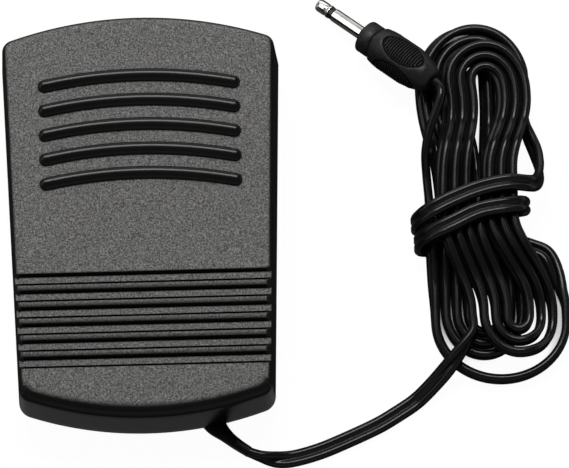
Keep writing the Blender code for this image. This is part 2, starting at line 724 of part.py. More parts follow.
def hook_ledge(side):
    """A shelf on the toe wall over the barb of a stop hook."""
    wall = BASE_INSET + BASE_WALL / 2 + math.tan(WALL_LEAN) * (LEDGE_HEIGHT - SKIRT_LIFT_TOE)
    edge = hook_wall_y() - LEDGE_REACH
    left = side * HOOK_X - HOOK_WIDTH / 2 - HOOK_CLEARANCE
    right = side * HOOK_X + HOOK_WIDTH / 2 + HOOK_CLEARANCE
    steps = 3
    stations = [right + (left - right) * k / steps for k in range(steps + 1)]
    points = [(left, edge), (right, edge)] + [(x, toe_wall_y(x, wall)) for x in stations]
    return prism(points, 2, LEDGE_HEIGHT, LEDGE_HEIGHT + LEDGE_THICKNESS)


def switch_bracket():
    reach = SWITCH_LENGTH / 2 + BRACKET_MARGIN
    return box((BRACKET_RIGHT - BRACKET_THICKNESS, SWITCH_Y - reach, FLOOR_TOP - SINK),
               (BRACKET_RIGHT, SWITCH_Y + reach, FLOOR_TOP + BRACKET_HEIGHT))


def switch_screw_ys():
    return (SWITCH_Y - SWITCH_SCREW_SPACING / 2, SWITCH_Y + SWITCH_SCREW_SPACING / 2)


def cut_switch_screw_holes(target, left, right):
    for index, y in enumerate(switch_screw_ys()):
        hole = rod(SCREW_HOLE, (left, y, SWITCH_SCREW_Z), (right, y, SWITCH_SCREW_Z), 16)
        cut(target, hole, f"screw_hole_{index}")


def base_tray():
    tray = finish("base_tray", tray_shell(), black_plastic("tray_plastic", 0.022, 0.5))
    for side, name in ((-1, "left"), (1, "right")):
        ear = eye_plate(side * EAR_X, EAR_THICKNESS, HINGE_Y, HINGE_HEIGHT, EAR_RADIUS, FLOOR_TOP - SINK)
        fuse(tray, ear, f"ear_{name}")
        fuse(tray, hook_ledge(side), f"ledge_{name}")
        boss_x = CORD_X + side * CLAMP_SPACING / 2
        boss_top = FLOOR_TOP + CLAMP_BOSS_HEIGHT
        fuse(tray, rod(CLAMP_BOSS_RADIUS, (boss_x, CLAMP_Y, FLOOR_TOP - SINK), (boss_x, CLAMP_Y, boss_top)),
             f"boss_{name}")
        cut(tray, rod(SCREW_HOLE, (boss_x, CLAMP_Y, FOOT_CLEARANCE + BOSS_FLOOR),
                      (boss_x, CLAMP_Y, boss_top + SINK), 16), f"boss_hole_{name}")
    fuse(tray, rod(SPRING_POST_RADIUS, (0, SPRING_Y, FLOOR_TOP - SINK),
                   (0, SPRING_Y, FLOOR_TOP + SPRING_POST_HEIGHT)), "spring_post")
    fuse(tray, switch_bracket(), "bracket")
    cut_switch_screw_holes(tray, BRACKET_RIGHT - BRACKET_THICKNESS - SINK, BRACKET_RIGHT + SINK)
    cut(tray, pin_bore(EAR_X + EAR_THICKNESS / 2 + SINK), "pin_bore")
    for name, (x, y) in FEET.items():
        recess_top = FOOT_CLEARANCE + FOOT_RECESS
        cut(tray, rod(FOOT_RADIUS + FIT_GAP, (x, y, 0), (x, y, recess_top)), f"recess_{name}")
        cut(tray, rod(FOOT_STEM_RADIUS + FIT_GAP, (x, y, 0), (x, y, FLOOR_TOP + SINK)), f"hole_{name}")
    wall_in = grommet_wall_y()
    slot = GROMMET_HALF_WIDTH + FIT_GAP
    pocket = slot + FLANGE_MARGIN
    cut(tray, box((CORD_X - slot, -HALF - SINK, 0), (CORD_X + slot, wall_in + SINK,
                                                      GROMMET_Z + GROMMET_HALF_HEIGHT + FIT_GAP)), "cord_slot")
    cut(tray, box((CORD_X - pocket, wall_in - SINK / 2, 0), (CORD_X + pocket, wall_in + CORD_POCKET,
                                                             FLOOR_TOP + SINK)), "cord_pocket")


def rubber_foot(name, x, y):
    disc_top = FOOT_CLEARANCE + FOOT_RECESS - FIT_GAP
    barb = FLOOR_TOP + FIT_GAP
    profile = [(0, 0), (FOOT_RADIUS - FIT_GAP, 0), (FOOT_RADIUS, FIT_GAP), (FOOT_RADIUS, disc_top),
               (FOOT_STEM_RADIUS, disc_top), (FOOT_STEM_RADIUS, barb), (FOOT_BARB_RADIUS, barb),
               (FOOT_STEM_RADIUS, barb + FOOT_BARB_HEIGHT), (0, barb + FOOT_BARB_HEIGHT)]
    foot = finish(f"rubber_foot_{name}", turned(profile), black_plastic("foot_rubber_" + name, 0.02, 0.8))
    foot.location = (x, y, 0)


def hinge_pin():
    reach = EAR_X + EAR_THICKNESS / 2 + PIN_OVERHANG
    finish("hinge_pin", rod(PIN_RADIUS, (-reach, HINGE_Y, HINGE_HEIGHT), (reach, HINGE_Y, HINGE_HEIGHT)),
           steel("pin_steel"))


def return_spring():
    low = FLOOR_TOP + FIT_GAP + SPRING_WIRE
    high = ceiling_z(SPRING_Y) - SPRING_SEAT_DROP - FIT_GAP - SPRING_WIRE
    count = SPRING_TURNS * SPRING_POINTS
    route = []
    for k in range(count + 1):
        turn = 2 * math.pi * k / SPRING_POINTS
        route.append((SPRING_RADIUS * math.cos(turn), SPRING_Y + SPRING_RADIUS * math.sin(turn),
                      low + (high - low) * k / count))
    tube("return_spring", route, SPRING_WIRE, 1, steel("spring_steel"))


# ================================================================ screws
def screw(name, seat, axis, length):
    """A slotted screw whose head lies on the seat, with its shank along axis."""
    profile = [(0, -SCREW_HEAD_HEIGHT), (SCREW_HEAD_RADIUS - FIT_GAP, -SCREW_HEAD_HEIGHT),
               (SCREW_HEAD_RADIUS, -SCREW_HEAD_HEIGHT + FIT_GAP), (SCREW_HEAD_RADIUS, 0), (SCREW_RADIUS, 0),
               (SCREW_RADIUS, length - SCREW_RADIUS), (SCREW_RADIUS / 2, length), (0, length)]
    body = finish(name, turned(profile, seat, axis, 16), steel(name + "_steel"))
    top = Vector(seat) - Vector(axis) * SCREW_HEAD_HEIGHT
    across = Vector((0, SCREW_HEAD_RADIUS * 2, 0))
    wide = Vector(axis).cross(Vector((0, 1, 0))) * SCREW_SLOT_WIDTH / 2
    deep = Vector(axis) * SCREW_SLOT_DEPTH
    corners = [top + wide + deep + across, top - wide - deep - across]
    low = [min(c[i] for c in corners) for i in range(3)]
    high = [max(c[i] for c in corners) for i in range(3)]
    cut(body, box(low, high), "slot")


# ================================================================ switch
def switch_case():
    y0, y1 = SWITCH_Y - SWITCH_LENGTH / 2, SWITCH_Y + SWITCH_LENGTH / 2
    case = finish("switch_case", box((CASE_LEFT, y0, SWITCH_BOTTOM), (CASE_RIGHT, y1, SWITCH_TOP)),
                  black_plastic("switch_plastic", 0.015, 0.45))
    for side, name in ((-1, "left"), (1, "right")):
        middle = SWITCH_X + side * (LEVER_WIDTH / 2 + FIT_GAP + LEVER_EAR_THICKNESS / 2)
        fuse(case, eye_plate(middle, LEVER_EAR_THICKNESS, LEVER_PIVOT_Y, LEVER_PIVOT_Z, LEVER_EAR_RADIUS,
                             SWITCH_TOP - SINK), f"ear_{name}")
    cut(case, box((CASE_LEFT + SWITCH_WALL, y0 + SWITCH_WALL, CAVITY_FLOOR),
                  (CASE_RIGHT + SINK, y1 - SWITCH_WALL, SWITCH_TOP - SWITCH_WALL)), "cavity")
    for y, name in ((COMMON_Y, "common"), (CONTACT_Y, "contact")):
        across = TERMINAL_THICKNESS / 2 + SLOT_GAP
        along = TERMINAL_WIDTH / 2 + SLOT_GAP
        cut(case, box((SWITCH_X - across, y - along, SWITCH_BOTTOM - SINK),
                      (SWITCH_X + across, y + along, CAVITY_FLOOR + SINK)), f"slot_{name}")
    cut(case, rod(PLUNGER_RADIUS + FIT_GAP, (SWITCH_X, PLUNGER_Y, SWITCH_TOP - 2 * SWITCH_WALL),
                  (SWITCH_X, PLUNGER_Y, SWITCH_TOP + SINK)), "plunger_hole")
    reach = SWITCH_DEPTH
    cut(case, rod(LEVER_PIN_RADIUS + FIT_GAP, (SWITCH_X - reach, LEVER_PIVOT_Y, LEVER_PIVOT_Z),
                  (SWITCH_X + reach, LEVER_PIVOT_Y, LEVER_PIVOT_Z), 16), "lever_hole")
    cut_switch_screw_holes(case, CASE_LEFT - SINK, CASE_RIGHT + SINK)


def switch_side_cover():
    reach = SWITCH_LENGTH / 2
    lid = finish("switch_side_cover", box((LID_LEFT, SWITCH_Y - reach, SWITCH_BOTTOM),
                                          (LID_LEFT + SWITCH_LID, SWITCH_Y + reach, SWITCH_TOP)),
                 black_plastic("switch_lid_plastic", 0.02, 0.45))
    cut_switch_screw_holes(lid, LID_LEFT - SINK, LID_LEFT + SWITCH_LID + SINK)


def switch_terminal(name, y, head_top):
    """A flat tab through the case's floor, with a wider head inside."""
    tab = finish(name, box((SWITCH_X - TERMINAL_THICKNESS / 2, y - TERMINAL_WIDTH / 2,
                            SWITCH_BOTTOM - TERMINAL_DROP),
                           (SWITCH_X + TERMINAL_THICKNESS / 2, y + TERMINAL_WIDTH / 2,
                            head_top - TERMINAL_HEAD_HEIGHT / 2)), brass(name + "_brass"))
    half = TERMINAL_HEAD / 2
    fuse(tab, box((SWITCH_X - half, y - half, head_top - TERMINAL_HEAD_HEIGHT),
                  (SWITCH_X + half, y + half, head_top)), "head")


def switch_moving_parts(plunger_seat, lever_pivot, blade_pivot):
    lever_under = LEVER_PIVOT_Z + (PLUNGER_Y - LEVER_PIVOT_Y) * math.tan(LEVER_ANGLE)
    plunger_top = lever_under - LEVER_THICKNESS / 2 / math.cos(LEVER_ANGLE) - FIT_GAP
    collar_top = PLUNGER_BOTTOM + PLUNGER_COLLAR_HEIGHT
    profile = [(0, PLUNGER_BOTTOM), (PLUNGER_COLLAR_RADIUS, PLUNGER_BOTTOM),
               (PLUNGER_COLLAR_RADIUS, collar_top), (PLUNGER_RADIUS, collar_top), (PLUNGER_RADIUS, plunger_top - FIT_GAP),
               (PLUNGER_RADIUS / 2, plunger_top), (0, plunger_top)]
    finish("switch_plunger", turned(profile, (SWITCH_X, PLUNGER_Y, 0)),
           material("plunger_plastic", (0.55, 0.08, 0.06), 0.4), plunger_seat)

    along = Vector((math.cos(LEVER_ANGLE), math.sin(LEVER_ANGLE)))
    across = Vector((-along.y, along.x)) * LEVER_THICKNESS / 2
    root = Vector((LEVER_PIVOT_Y, LEVER_PIVOT_Z))
    tip = root + along * LEVER_LENGTH
    corners = [tuple(p) for p in (root - across, tip - across, tip + across, root + across)]
    lever = finish("switch_lever", prism(corners, 0, SWITCH_X - LEVER_WIDTH / 2, SWITCH_X + LEVER_WIDTH / 2),
                   steel("lever_steel"), lever_pivot)
    reach = LEVER_WIDTH / 2 + 2 * FIT_GAP + LEVER_EAR_THICKNESS
    fuse(lever, rod(LEVER_PIN_RADIUS, (SWITCH_X - reach, LEVER_PIVOT_Y, LEVER_PIVOT_Z),
                    (SWITCH_X + reach, LEVER_PIVOT_Y, LEVER_PIVOT_Z), 12), "pin")

    finish("switch_contact_blade", box((SWITCH_X - BLADE_WIDTH / 2, CONTACT_Y - BLADE_OVERHANG, BLADE_BOTTOM),
                                       (SWITCH_X + BLADE_WIDTH / 2, COMMON_Y + BLADE_OVERHANG,
                                        BLADE_BOTTOM + BLADE_THICKNESS)), brass("blade_brass"), blade_pivot)


# ================================================================ cord inside the pedal
def grommet_section(x, y, z, half_width, half_height, heading):
    """An oval ring across the cord, which runs along heading in plan."""
    sides = 16
    ring = []
    for k in range(sides):
        turn = 2 * math.pi * (k + 0.5) / sides
        side = half_width * math.copysign(abs(math.cos(turn)) ** GROMMET_SQUARENESS, math.cos(turn))
        rise = half_height * math.copysign(abs(math.sin(turn)) ** GROMMET_SQUARENESS, math.sin(turn))
        ring.append(Vector((x - side * math.sin(heading), y + side * math.cos(heading), z + rise)))
    return ring


def grommet_wall_y():
    """Inside of the curved heel wall where the grommet's flange comes nearest to it."""
    return heel_wall_y(CORD_X + GROMMET_HALF_WIDTH + FLANGE_MARGIN, BASE_INSET + BASE_WALL)


def cord_grommet():
    flange = grommet_wall_y() + FIT_GAP
    wide, high = GROMMET_HALF_WIDTH, GROMMET_HALF_HEIGHT
    lip_z, lip_high = GROMMET_Z + FLANGE_MARGIN / 3, high + FLANGE_MARGIN / 3
    south = -math.pi / 2
    sections = [(CORD_X, flange + FLANGE_THICKNESS, lip_z, wide + FLANGE_MARGIN, lip_high, south),
                (CORD_X, flange, lip_z, wide + FLANGE_MARGIN, lip_high, south),
                (CORD_X, flange, GROMMET_Z, wide, high, south),
                (CORD_X, GROMMET_BEND_Y, GROMMET_Z, wide, high, south)]
    for aside, y, z, half_width, half_height, heading in GROMMET_BEND:
        sections.append((CORD_X + aside, y, z, half_width, half_height, math.radians(heading)))
    rings = [grommet_section(*section) for section in sections]
    finish("cord_grommet", loft(rings), black_plastic("grommet_pvc", 0.02, 0.5))


def cord_inner_end():
    """The stretch of flex from the grommet, under the clamp, lying flat."""
    start = grommet_wall_y() + 2 * FIT_GAP + FLANGE_THICKNESS
    end = -HALF + INNER_CORD_END
    level = start + INNER_CORD_LEVEL
    rise_end = level + INNER_CORD_RISE
    points = [(CORD_X, level, GROMMET_Z), (CORD_X, rise_end, INNER_CORD_Z),
              (CORD_X, (rise_end + end) / 2, INNER_CORD_Z), (CORD_X, end, INNER_CORD_Z)]
    stretch = (CORD_WIDTH / CORD_THICKNESS, 1, 1)
    route = [Vector((CORD_X, start, GROMMET_Z))] + even_points(dense_curve(points), INNER_CORD_STEP)
    tube("cord_inner_end", route, CORD_THICKNESS / 2, 2,
         black_plastic("inner_cord_pvc", 0.02, 0.3), stretch)


def cord_clamp():
    reach = CLAMP_SPACING / 2 + CLAMP_MARGIN
    clamp = finish("cord_clamp", box((CORD_X - reach, CLAMP_Y - CLAMP_WIDTH / 2, CLAMP_BOTTOM),
                                     (CORD_X + reach, CLAMP_Y + CLAMP_WIDTH / 2, CLAMP_TOP)),
                   black_plastic("clamp_plastic", 0.03, 0.5))
    ridge_bottom = INNER_CORD_Z + CORD_THICKNESS / 2 + FIT_GAP
    fuse(clamp, box((CORD_X - CORD_WIDTH / 2, CLAMP_Y - CLAMP_RIDGE_WIDTH / 2, ridge_bottom),
                    (CORD_X + CORD_WIDTH / 2, CLAMP_Y + CLAMP_RIDGE_WIDTH / 2, CLAMP_BOTTOM + SINK)), "ridge")
    for side, name in ((-1, "left"), (1, "right")):
        x = CORD_X + side * CLAMP_SPACING / 2
        cut(clamp, rod(SCREW_HOLE, (x, CLAMP_Y, CLAMP_BOTTOM - SINK), (x, CLAMP_Y, CLAMP_TOP + SINK), 16),
            f"hole_{name}")
        screw(f"cord_clamp_screw_{name}", (x, CLAMP_Y, CLAMP_TOP + FIT_GAP), (0, 0, -1), CLAMP_SCREW_LENGTH)


def lead_wires():
    """Each core runs from the end of the flex to its terminal, where solder holds it."""
    start_y = -HALF + INNER_CORD_END + FIT_GAP
    solder_x = SWITCH_X + TERMINAL_THICKNESS / 2 + FIT_GAP
    wire_x = solder_x + SOLDER_LENGTH + FIT_GAP
    solder_z = SWITCH_BOTTOM - TERMINAL_DROP + SOLDER_RADIUS
    low_z = FLOOR_TOP + WIRE_LIFT
    blob = [(0, 0), (SOLDER_RADIUS, 0), (SOLDER_RADIUS * 0.8, SOLDER_LENGTH * 0.7),
            (SOLDER_RADIUS * 0.4, SOLDER_LENGTH), (0, SOLDER_LENGTH)]
    for name, side, y, mat in (("contact", -1, CONTACT_Y, brass("core_contact")),
                               ("common", 1, COMMON_Y, steel("core_common"))):
        x = CORD_X + side * CORD_WIDTH / 4
        route = [(x, start_y, INNER_CORD_Z), (x, start_y + WIRE_STUB, INNER_CORD_Z)]
        route += [(bend_x, bend_y, low_z) for bend_x, bend_y in WIRE_BENDS[name]]
        route += [(wire_x + WIRE_STUB, y, solder_z), (wire_x, y, solder_z)]
        tube(f"lead_wire_{name}", even_points(dense_curve(route), WIRE_STEP), WIRE_RADIUS, 1, mat)
        finish(f"solder_joint_{name}", turned(blob, (solder_x, y, solder_z), (1, 0, 0), 12),
               material("solder_" + name, (0.7, 0.7, 0.72), 0.25, 1.0))


# ================================================================ the free cord
def loop_place(turn, layer):
    """Place in plan at a number of half turns: even ones run up the left, odd ones down the right."""
    size = 0.25 + abs(turn - HANK_TURNS) / 2
    number = math.floor(turn)
    up = turn - number if number % 2 == 0 else 1 - (turn - number)
    side = -1 if number % 2 == 0 else 1
    sweep = 2 * up - 1
    end = layer["top"] if sweep > 0 else layer["bottom"]
    reach = abs(end - HANK_MIDDLE_Y) - (layer["outermost"] - size) * LOOP_STEP
    cap = layer["cap"] * (size + END_FLARE) * from_table(layer["step"], end)
    leg = reach - cap
    leg_share = leg / (leg + CAP_SHARE * cap)
    if abs(sweep) < leg_share:
        offset, narrowing = leg * abs(sweep) / leg_share, 1.0
    else:
        angle = (abs(sweep) - leg_share) / (1 - leg_share) * math.pi / 2
        offset, narrowing = leg + cap * math.sin(angle), math.cos(angle)
    y = HANK_MIDDLE_Y + math.copysign(offset, sweep)
    flare = END_FLARE * smooth_step((abs(y - HANK_MIDDLE_Y) - 0.006) / 0.020)
    x = from_table(layer["middle"], y)
    return x + from_table(layer["step"], y) * (0.25 + (size + flare) * side * narrowing), y


def waist_lift(y):
    return WAIST_LIFT * smooth_step((0.028 - y) / 0.008) * smooth_step((y + 0.014) / 0.009)


def hank_place(turn):
    """A point of the hank: the upper layer winds in, crosses down at the waist and winds out below."""
    if turn < 6:
        (x, y), down = loop_place(turn, UPPER), 0.0
    elif turn > 7:
        (x, y), down = loop_place(turn, OUTER if turn > 13.6 else LOWER), 1.0
    else:
        high, low = Vector(loop_place(turn, UPPER)), Vector(loop_place(turn, LOWER))
        x, y = high.lerp(low, smooth_step((turn - 6.25) / 0.5))
        down = smooth_step(y / 0.016)
    slump = smooth_step((x - 0.0965) / 0.008) * smooth_step((-0.008 - y) / 0.010)
    upper_z = HANK_Z + LAYER_STEP * (1 - slump) + waist_lift(y)
    lower_z = HANK_Z + waist_lift(y)
    return Vector((x, y, upper_z + (lower_z - upper_z) * down))


def hank_points(start, end, points=LOOP_POINTS):
    count = round((end - start) * points / 2)
    return [hank_place(start + (end - start) * k / count) for k in range(count + 1)]


def least_gap(path, stretch):
    """The least clear distance between stretches of a flat tube that lie apart along it."""
    squashed = [Vector((p.x / stretch[0], p.y / stretch[1], p.z / stretch[2])) for p in path]
    along = [0.0]
    for a, b in zip(path, path[1:]):
        along.append(along[-1] + (b - a).length)
    apart = [(squashed[i] - squashed[j]).length for i in range(len(path)) for j in range(i + 1, len(path))
             if along[j] - along[i] > 2 * CORD_WIDTH]
    return min(apart) - CORD_THICKNESS


def free_cord():
    flex = black_plastic("flex_pvc", 0.018, 0.25)
    edge = (1, 1, CORD_WIDTH / CORD_THICKNESS)
    lead = even_points(dense_curve(LEAD_ROUTE), LEAD_STEP)
    tube("cord_lead", lead, CORD_WIDTH / 2, 2, flex)

    loops = hank_points(HANK_START, HANK_END)
    joined = dense_curve(HANK_APPROACH + (tuple(loops[0]), tuple(loops[1])))[:-CURVE_PIECES]
    approach = even_points(joined, APPROACH_STEP)[:-1]
    tube("cord_hank", approach + loops, CORD_THICKNESS / 2, 1, flex, edge)

    back = hank_points(RETURN_START, RETURN_END)
    straight = Vector((0, CORD_THICKNESS, 0))
    first = loops[-1] - Vector((0, WRAP_START_GAP, 0))
    last = back[0] + Vector((0, WRAP_END_GAP, 0))
    middle = [first - straight] + [Vector(p) for p in WRAP_ROUTE] + [last + straight]
    wrap = [first] + even_points(dense_curve(middle), WRAP_STEP) + [last]
    flat = (1, CORD_WIDTH / CORD_THICKNESS, 1)
    tube("cord_wrap", wrap, CORD_THICKNESS / 2, 1, flex, flat, False)

    axis = plug_axis()
    tail = Vector(COLLAR_AT) - axis * (PLUG_BODY + TAIL_GAP)
    hook = [back[-1]] + [Vector(p) for p in RETURN_HOOK] + [tail - axis * TAIL_STRAIGHT, tail]
    back = back[:-1] + even_points(dense_curve(hook), HOOK_STEP)
    tube("cord_return", back, CORD_THICKNESS / 2, 1, flex, edge)

    for name, path, stretch in (("hank", approach + hank_points(HANK_START, HANK_END, GAP_POINTS), edge),
                                ("wrap", wrap, flat), ("return", back, edge)):
        print(f"least gap of the {name} to itself: {least_gap(path, stretch) * 1000:.2f} mm")
    length = sum(path_length(path) for path in (lead, approach + loops, wrap, back))
    print(f"free cord: {length:.3f} m")


# ================================================================ plug
def plug_axis():
    return Vector((math.cos(PLUG_YAW) * math.cos(PLUG_DIP), math.sin(PLUG_YAW) * math.cos(PLUG_DIP),
                   -math.sin(PLUG_DIP)))


def plug():
    """The moulded plug and its jack, turned about the local Z axis of one empty."""
    seat = empty("plug_seat", COLLAR_AT)
    seat.rotation_mode = 'QUATERNION'
    seat.rotation_quaternion = Vector((0, 0, 1)).rotation_difference(plug_axis())
    bore = JACK_RADIUS + FIT_GAP
    deep = JACK_ANCHOR + FIT_GAP
    body = [(0, -deep), (bore, -deep), (bore, 0), (COLLAR_RADIUS, 0), (COLLAR_RADIUS, -COLLAR_LENGTH)]
    body += [(radius, -back) for radius, back in PLUG_SHAPE] + [(TAIL_RADIUS, -PLUG_BODY), (0, -PLUG_BODY)]
    finish("plug_body", turned(body, segments=24), black_plastic("plug_pvc", 0.02, 0.5), seat, True)

    tip_start = JACK_LENGTH - TIP_LENGTH
    ring_start = tip_start - FIT_GAP - RING_LENGTH
    sleeve_end = ring_start - FIT_GAP
    sleeve = [(JACK_BORE, -JACK_ANCHOR), (JACK_RADIUS, -JACK_ANCHOR), (JACK_RADIUS, sleeve_end),
              (JACK_BORE, sleeve_end)]
    finish("plug_jack_sleeve", turned(sleeve), steel("jack_nickel"), seat, True)

    hole = INSULATOR_RADIUS - INSULATOR_WALL
    insulator = [(hole, -JACK_ANCHOR), (INSULATOR_RADIUS, -JACK_ANCHOR), (INSULATOR_RADIUS, ring_start),
                 (RING_RADIUS, ring_start), (RING_RADIUS, ring_start + RING_LENGTH),
                 (hole, ring_start + RING_LENGTH)]
    finish("plug_jack_insulator", turned(insulator), black_plastic("insulator_plastic", 0.01, 0.4), seat, True)

    tip = [(0, -JACK_ANCHOR), (TIP_ROD_RADIUS, -JACK_ANCHOR), (TIP_ROD_RADIUS, tip_start),
           (JACK_RADIUS, tip_start), (JACK_RADIUS, tip_start + 0.12 * TIP_LENGTH), (TIP_WAIST_RADIUS, tip_start + 0.40 * TIP_LENGTH),
           (JACK_RADIUS, tip_start + 0.64 * TIP_LENGTH), (JACK_RADIUS * 0.94, tip_start + 0.80 * TIP_LENGTH),
           (TIP_END_RADIUS, JACK_LENGTH), (0, JACK_LENGTH)]
    finish("plug_jack_tip", turned(tip), steel("tip_nickel"), seat, True)


# ================================================================ assembly
def main():
    clear_scene()
    hinge = empty("hinge_axis", (0, HINGE_Y, HINGE_HEIGHT))
    lever_pivot = empty("lever_axis", (SWITCH_X, LEVER_PIVOT_Y, LEVER_PIVOT_Z))
    plunger_seat = empty("plunger_axis", (SWITCH_X, PLUNGER_Y, PLUNGER_BOTTOM))
    blade_pivot = empty("blade_axis", (SWITCH_X, COMMON_Y, BLADE_MIDDLE))

    base_tray()
    for name, (x, y) in FEET.items():
        rubber_foot(name, x, y)
    hinge_pin()
    return_spring()
    treadle_cover(hinge)

    switch_case()
    switch_side_cover()
    switch_terminal("switch_terminal_common", COMMON_Y, BLADE_BOTTOM - FIT_GAP)
    switch_terminal("switch_terminal_contact", CONTACT_Y, CONTACT_TOP)
    for name, y in zip(("rear", "front"), switch_screw_ys()):
        seat = (LID_LEFT + SWITCH_LID + FIT_GAP, y, SWITCH_SCREW_Z)
        screw(f"switch_screw_{name}", seat, (-1, 0, 0), SWITCH_SCREW_LENGTH)
    switch_moving_parts(plunger_seat, lever_pivot, blade_pivot)

    cord_grommet()
    cord_inner_end()
    cord_clamp()
    lead_wires()
    free_cord()
    plug()


main()
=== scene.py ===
"""A small sewing machine pedal with its flat flex in a tied hank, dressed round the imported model. Metres."""
import math

import bpy
import numpy as np
from mathutils import Matrix, Vector

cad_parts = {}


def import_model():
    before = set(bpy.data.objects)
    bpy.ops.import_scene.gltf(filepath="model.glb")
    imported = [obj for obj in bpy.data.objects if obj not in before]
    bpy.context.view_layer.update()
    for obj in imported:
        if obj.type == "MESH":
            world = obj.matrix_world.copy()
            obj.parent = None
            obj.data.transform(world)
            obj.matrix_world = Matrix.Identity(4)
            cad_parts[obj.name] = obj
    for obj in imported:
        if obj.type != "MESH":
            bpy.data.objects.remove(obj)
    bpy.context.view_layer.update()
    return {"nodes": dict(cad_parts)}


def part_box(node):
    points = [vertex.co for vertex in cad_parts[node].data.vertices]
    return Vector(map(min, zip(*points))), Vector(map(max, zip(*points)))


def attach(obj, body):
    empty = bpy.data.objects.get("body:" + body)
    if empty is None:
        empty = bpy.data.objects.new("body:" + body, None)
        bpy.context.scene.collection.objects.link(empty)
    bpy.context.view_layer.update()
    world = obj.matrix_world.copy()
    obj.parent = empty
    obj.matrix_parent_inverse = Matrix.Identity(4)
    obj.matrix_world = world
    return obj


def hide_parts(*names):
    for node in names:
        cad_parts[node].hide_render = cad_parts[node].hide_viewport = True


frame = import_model()
nodes = frame["nodes"]

# ==================== sizes that the part has too
LENGTH, TOE_WIDTH, HEEL_WIDTH = 0.1034, 0.0716, 0.0647
HALF = LENGTH / 2
TOE_HEIGHT, HEEL_HEIGHT = 0.0320, 0.0200
TOE_ARC_RADIUS, HEEL_ARC_RADIUS, CORNER_RADIUS = 0.105, 0.093, 0.0040
WALL_LEAN = math.radians(3.0)
HEEL_SOFTNESS = 0.45
EDGE_ROUND = 0.0015
COVER_WALL, COVER_TOP = 0.0020, 0.0022
SKIRT_LIFT_TOE, SKIRT_LIFT_HEEL = 0.0110, 0.0046
RIB_COUNT, RIB_PITCH, RIB_WIDTH, RIB_HEIGHT, RIB_SHOULDER = 5, 0.0062, 0.0033, 0.0010, 0.0001
RIB_SPAN, RIB_ARC_RADIUS, FIRST_RIB_FROM_TOE = 0.0516, 0.1230, 0.0160
GROOVE_COUNT, GROOVE_PITCH, GROOVE_FLOOR, GROOVE_MOUTH = 6, 0.00418, 0.0016, 0.0026
GROOVE_DEPTH, LAST_GROOVE_FROM_HEEL = 0.00055, 0.0153

CORD_WIDTH, CORD_THICKNESS = 0.0044, 0.0022
FIT_GAP = 0.0003
HANK_MIDDLE_Y, LOOP_STEP, END_FLARE, HANK_Z = 0.0080, 0.0029, 0.45, 0.00225
LAYER_STEP, WAIST_LIFT, HANK_TURNS, CAP_SHARE = 0.0054, 0.0027, 6.5, 2.6
HANK_START, HANK_END, RETURN_START, RETURN_END = 0.22, 13.25, 13.72, 14.5
UPPER = {"middle": ((-0.036, 0.0943), (-0.022, 0.0939), (0.002, 0.0852), (0.014, 0.0852), (0.032, 0.0884),
                    (0.044, 0.0873)),
         "step": ((-0.020, 0.0030), (0.006, 0.0030), (0.030, 0.0028), (0.044, 0.0029)),
         "top": 0.0476, "bottom": -0.0352, "outermost": 3.0, "cap": 1.15}
LOWER = {"middle": ((-0.038, 0.0859), (-0.020, 0.0859), (0.006, 0.0852), (0.038, 0.0843)),
         "step": ((-0.020, 0.0028), (0.006, 0.0030), (0.038, 0.0034)),
         "top": 0.0548, "bottom": -0.0360, "outermost": 4.0, "cap": 1.15}
OUTER = {"middle": ((-0.038, 0.0900), (-0.020, 0.0902), (0.002, 0.0852), (0.038, 0.0843)),
         "step": ((-0.020, 0.00375), (0.002, 0.0030), (0.038, 0.0031)),
         "top": 0.0548, "bottom": -0.0395, "outermost": 4.0, "cap": 0.90}
HANK_APPROACH = ((0.0642, -0.0471, 0.00225), (0.0672, -0.0452, 0.0023), (0.0700, -0.0430, 0.0027),
                 (0.0748, -0.0386, 0.0055), (0.0784, -0.0347, 0.0075), (0.0813, -0.0308, 0.0077))
WRAP_ROUTE = ((0.0984, 0.0290, 0.0022), (0.0991, 0.0250, 0.0030), (0.1009, 0.0195, 0.0046),
              (0.1017, 0.0140, 0.0070), (0.1006, 0.0100, 0.0104), (0.0979, 0.0092, 0.0131),
              (0.0930, 0.0094, 0.0141), (0.0855, 0.0079, 0.0141), (0.0780, 0.0050, 0.0141),
              (0.0724, 0.0022, 0.0133), (0.0696, 0.0008, 0.0098), (0.0693, 0.0006, 0.0054),
              (0.0697, 0.0007, 0.0025), (0.0716, 0.0010, 0.0013), (0.0770, 0.0022, 0.0012),
              (0.0855, 0.0044, 0.0012), (0.0925, 0.0054, 0.0012), (0.0958, 0.0054, 0.0014),
              (0.0975, 0.0051, 0.0034), (0.0979, 0.0044, 0.0080), (0.0970, 0.0039, 0.0124),
              (0.0930, 0.0034, 0.0141), (0.0855, 0.0022, 0.0141), (0.0785, -0.0010, 0.0141),
              (0.0731, -0.0032, 0.0129), (0.0702, -0.0042, 0.0092), (0.0700, -0.0045, 0.0052),
              (0.0702, -0.0045, 0.0026), (0.0720, -0.0045, 0.0013), (0.0775, -0.0040, 0.0012),
              (0.0860, -0.0034, 0.0012), (0.0940, -0.0034, 0.0012), (0.0995, -0.0050, 0.0014),
              (0.1036, -0.0080, 0.0020))
RETURN_HOOK = ((0.0727, 0.0140, 0.0056), (0.0725, 0.0190, 0.0084), (0.0735, 0.0240, 0.0105),
               (0.0747, 0.0272, 0.0113), (0.0759, 0.0301, 0.0118), (0.0769, 0.0328, 0.0122),
               (0.0771, 0.0348, 0.0120))
WRAP_START_GAP, WRAP_END_GAP, TAIL_GAP = 0.00045, 0.00075, 0.00075
TAIL_STRAIGHT = 0.0008
CURVE_PIECES = 24

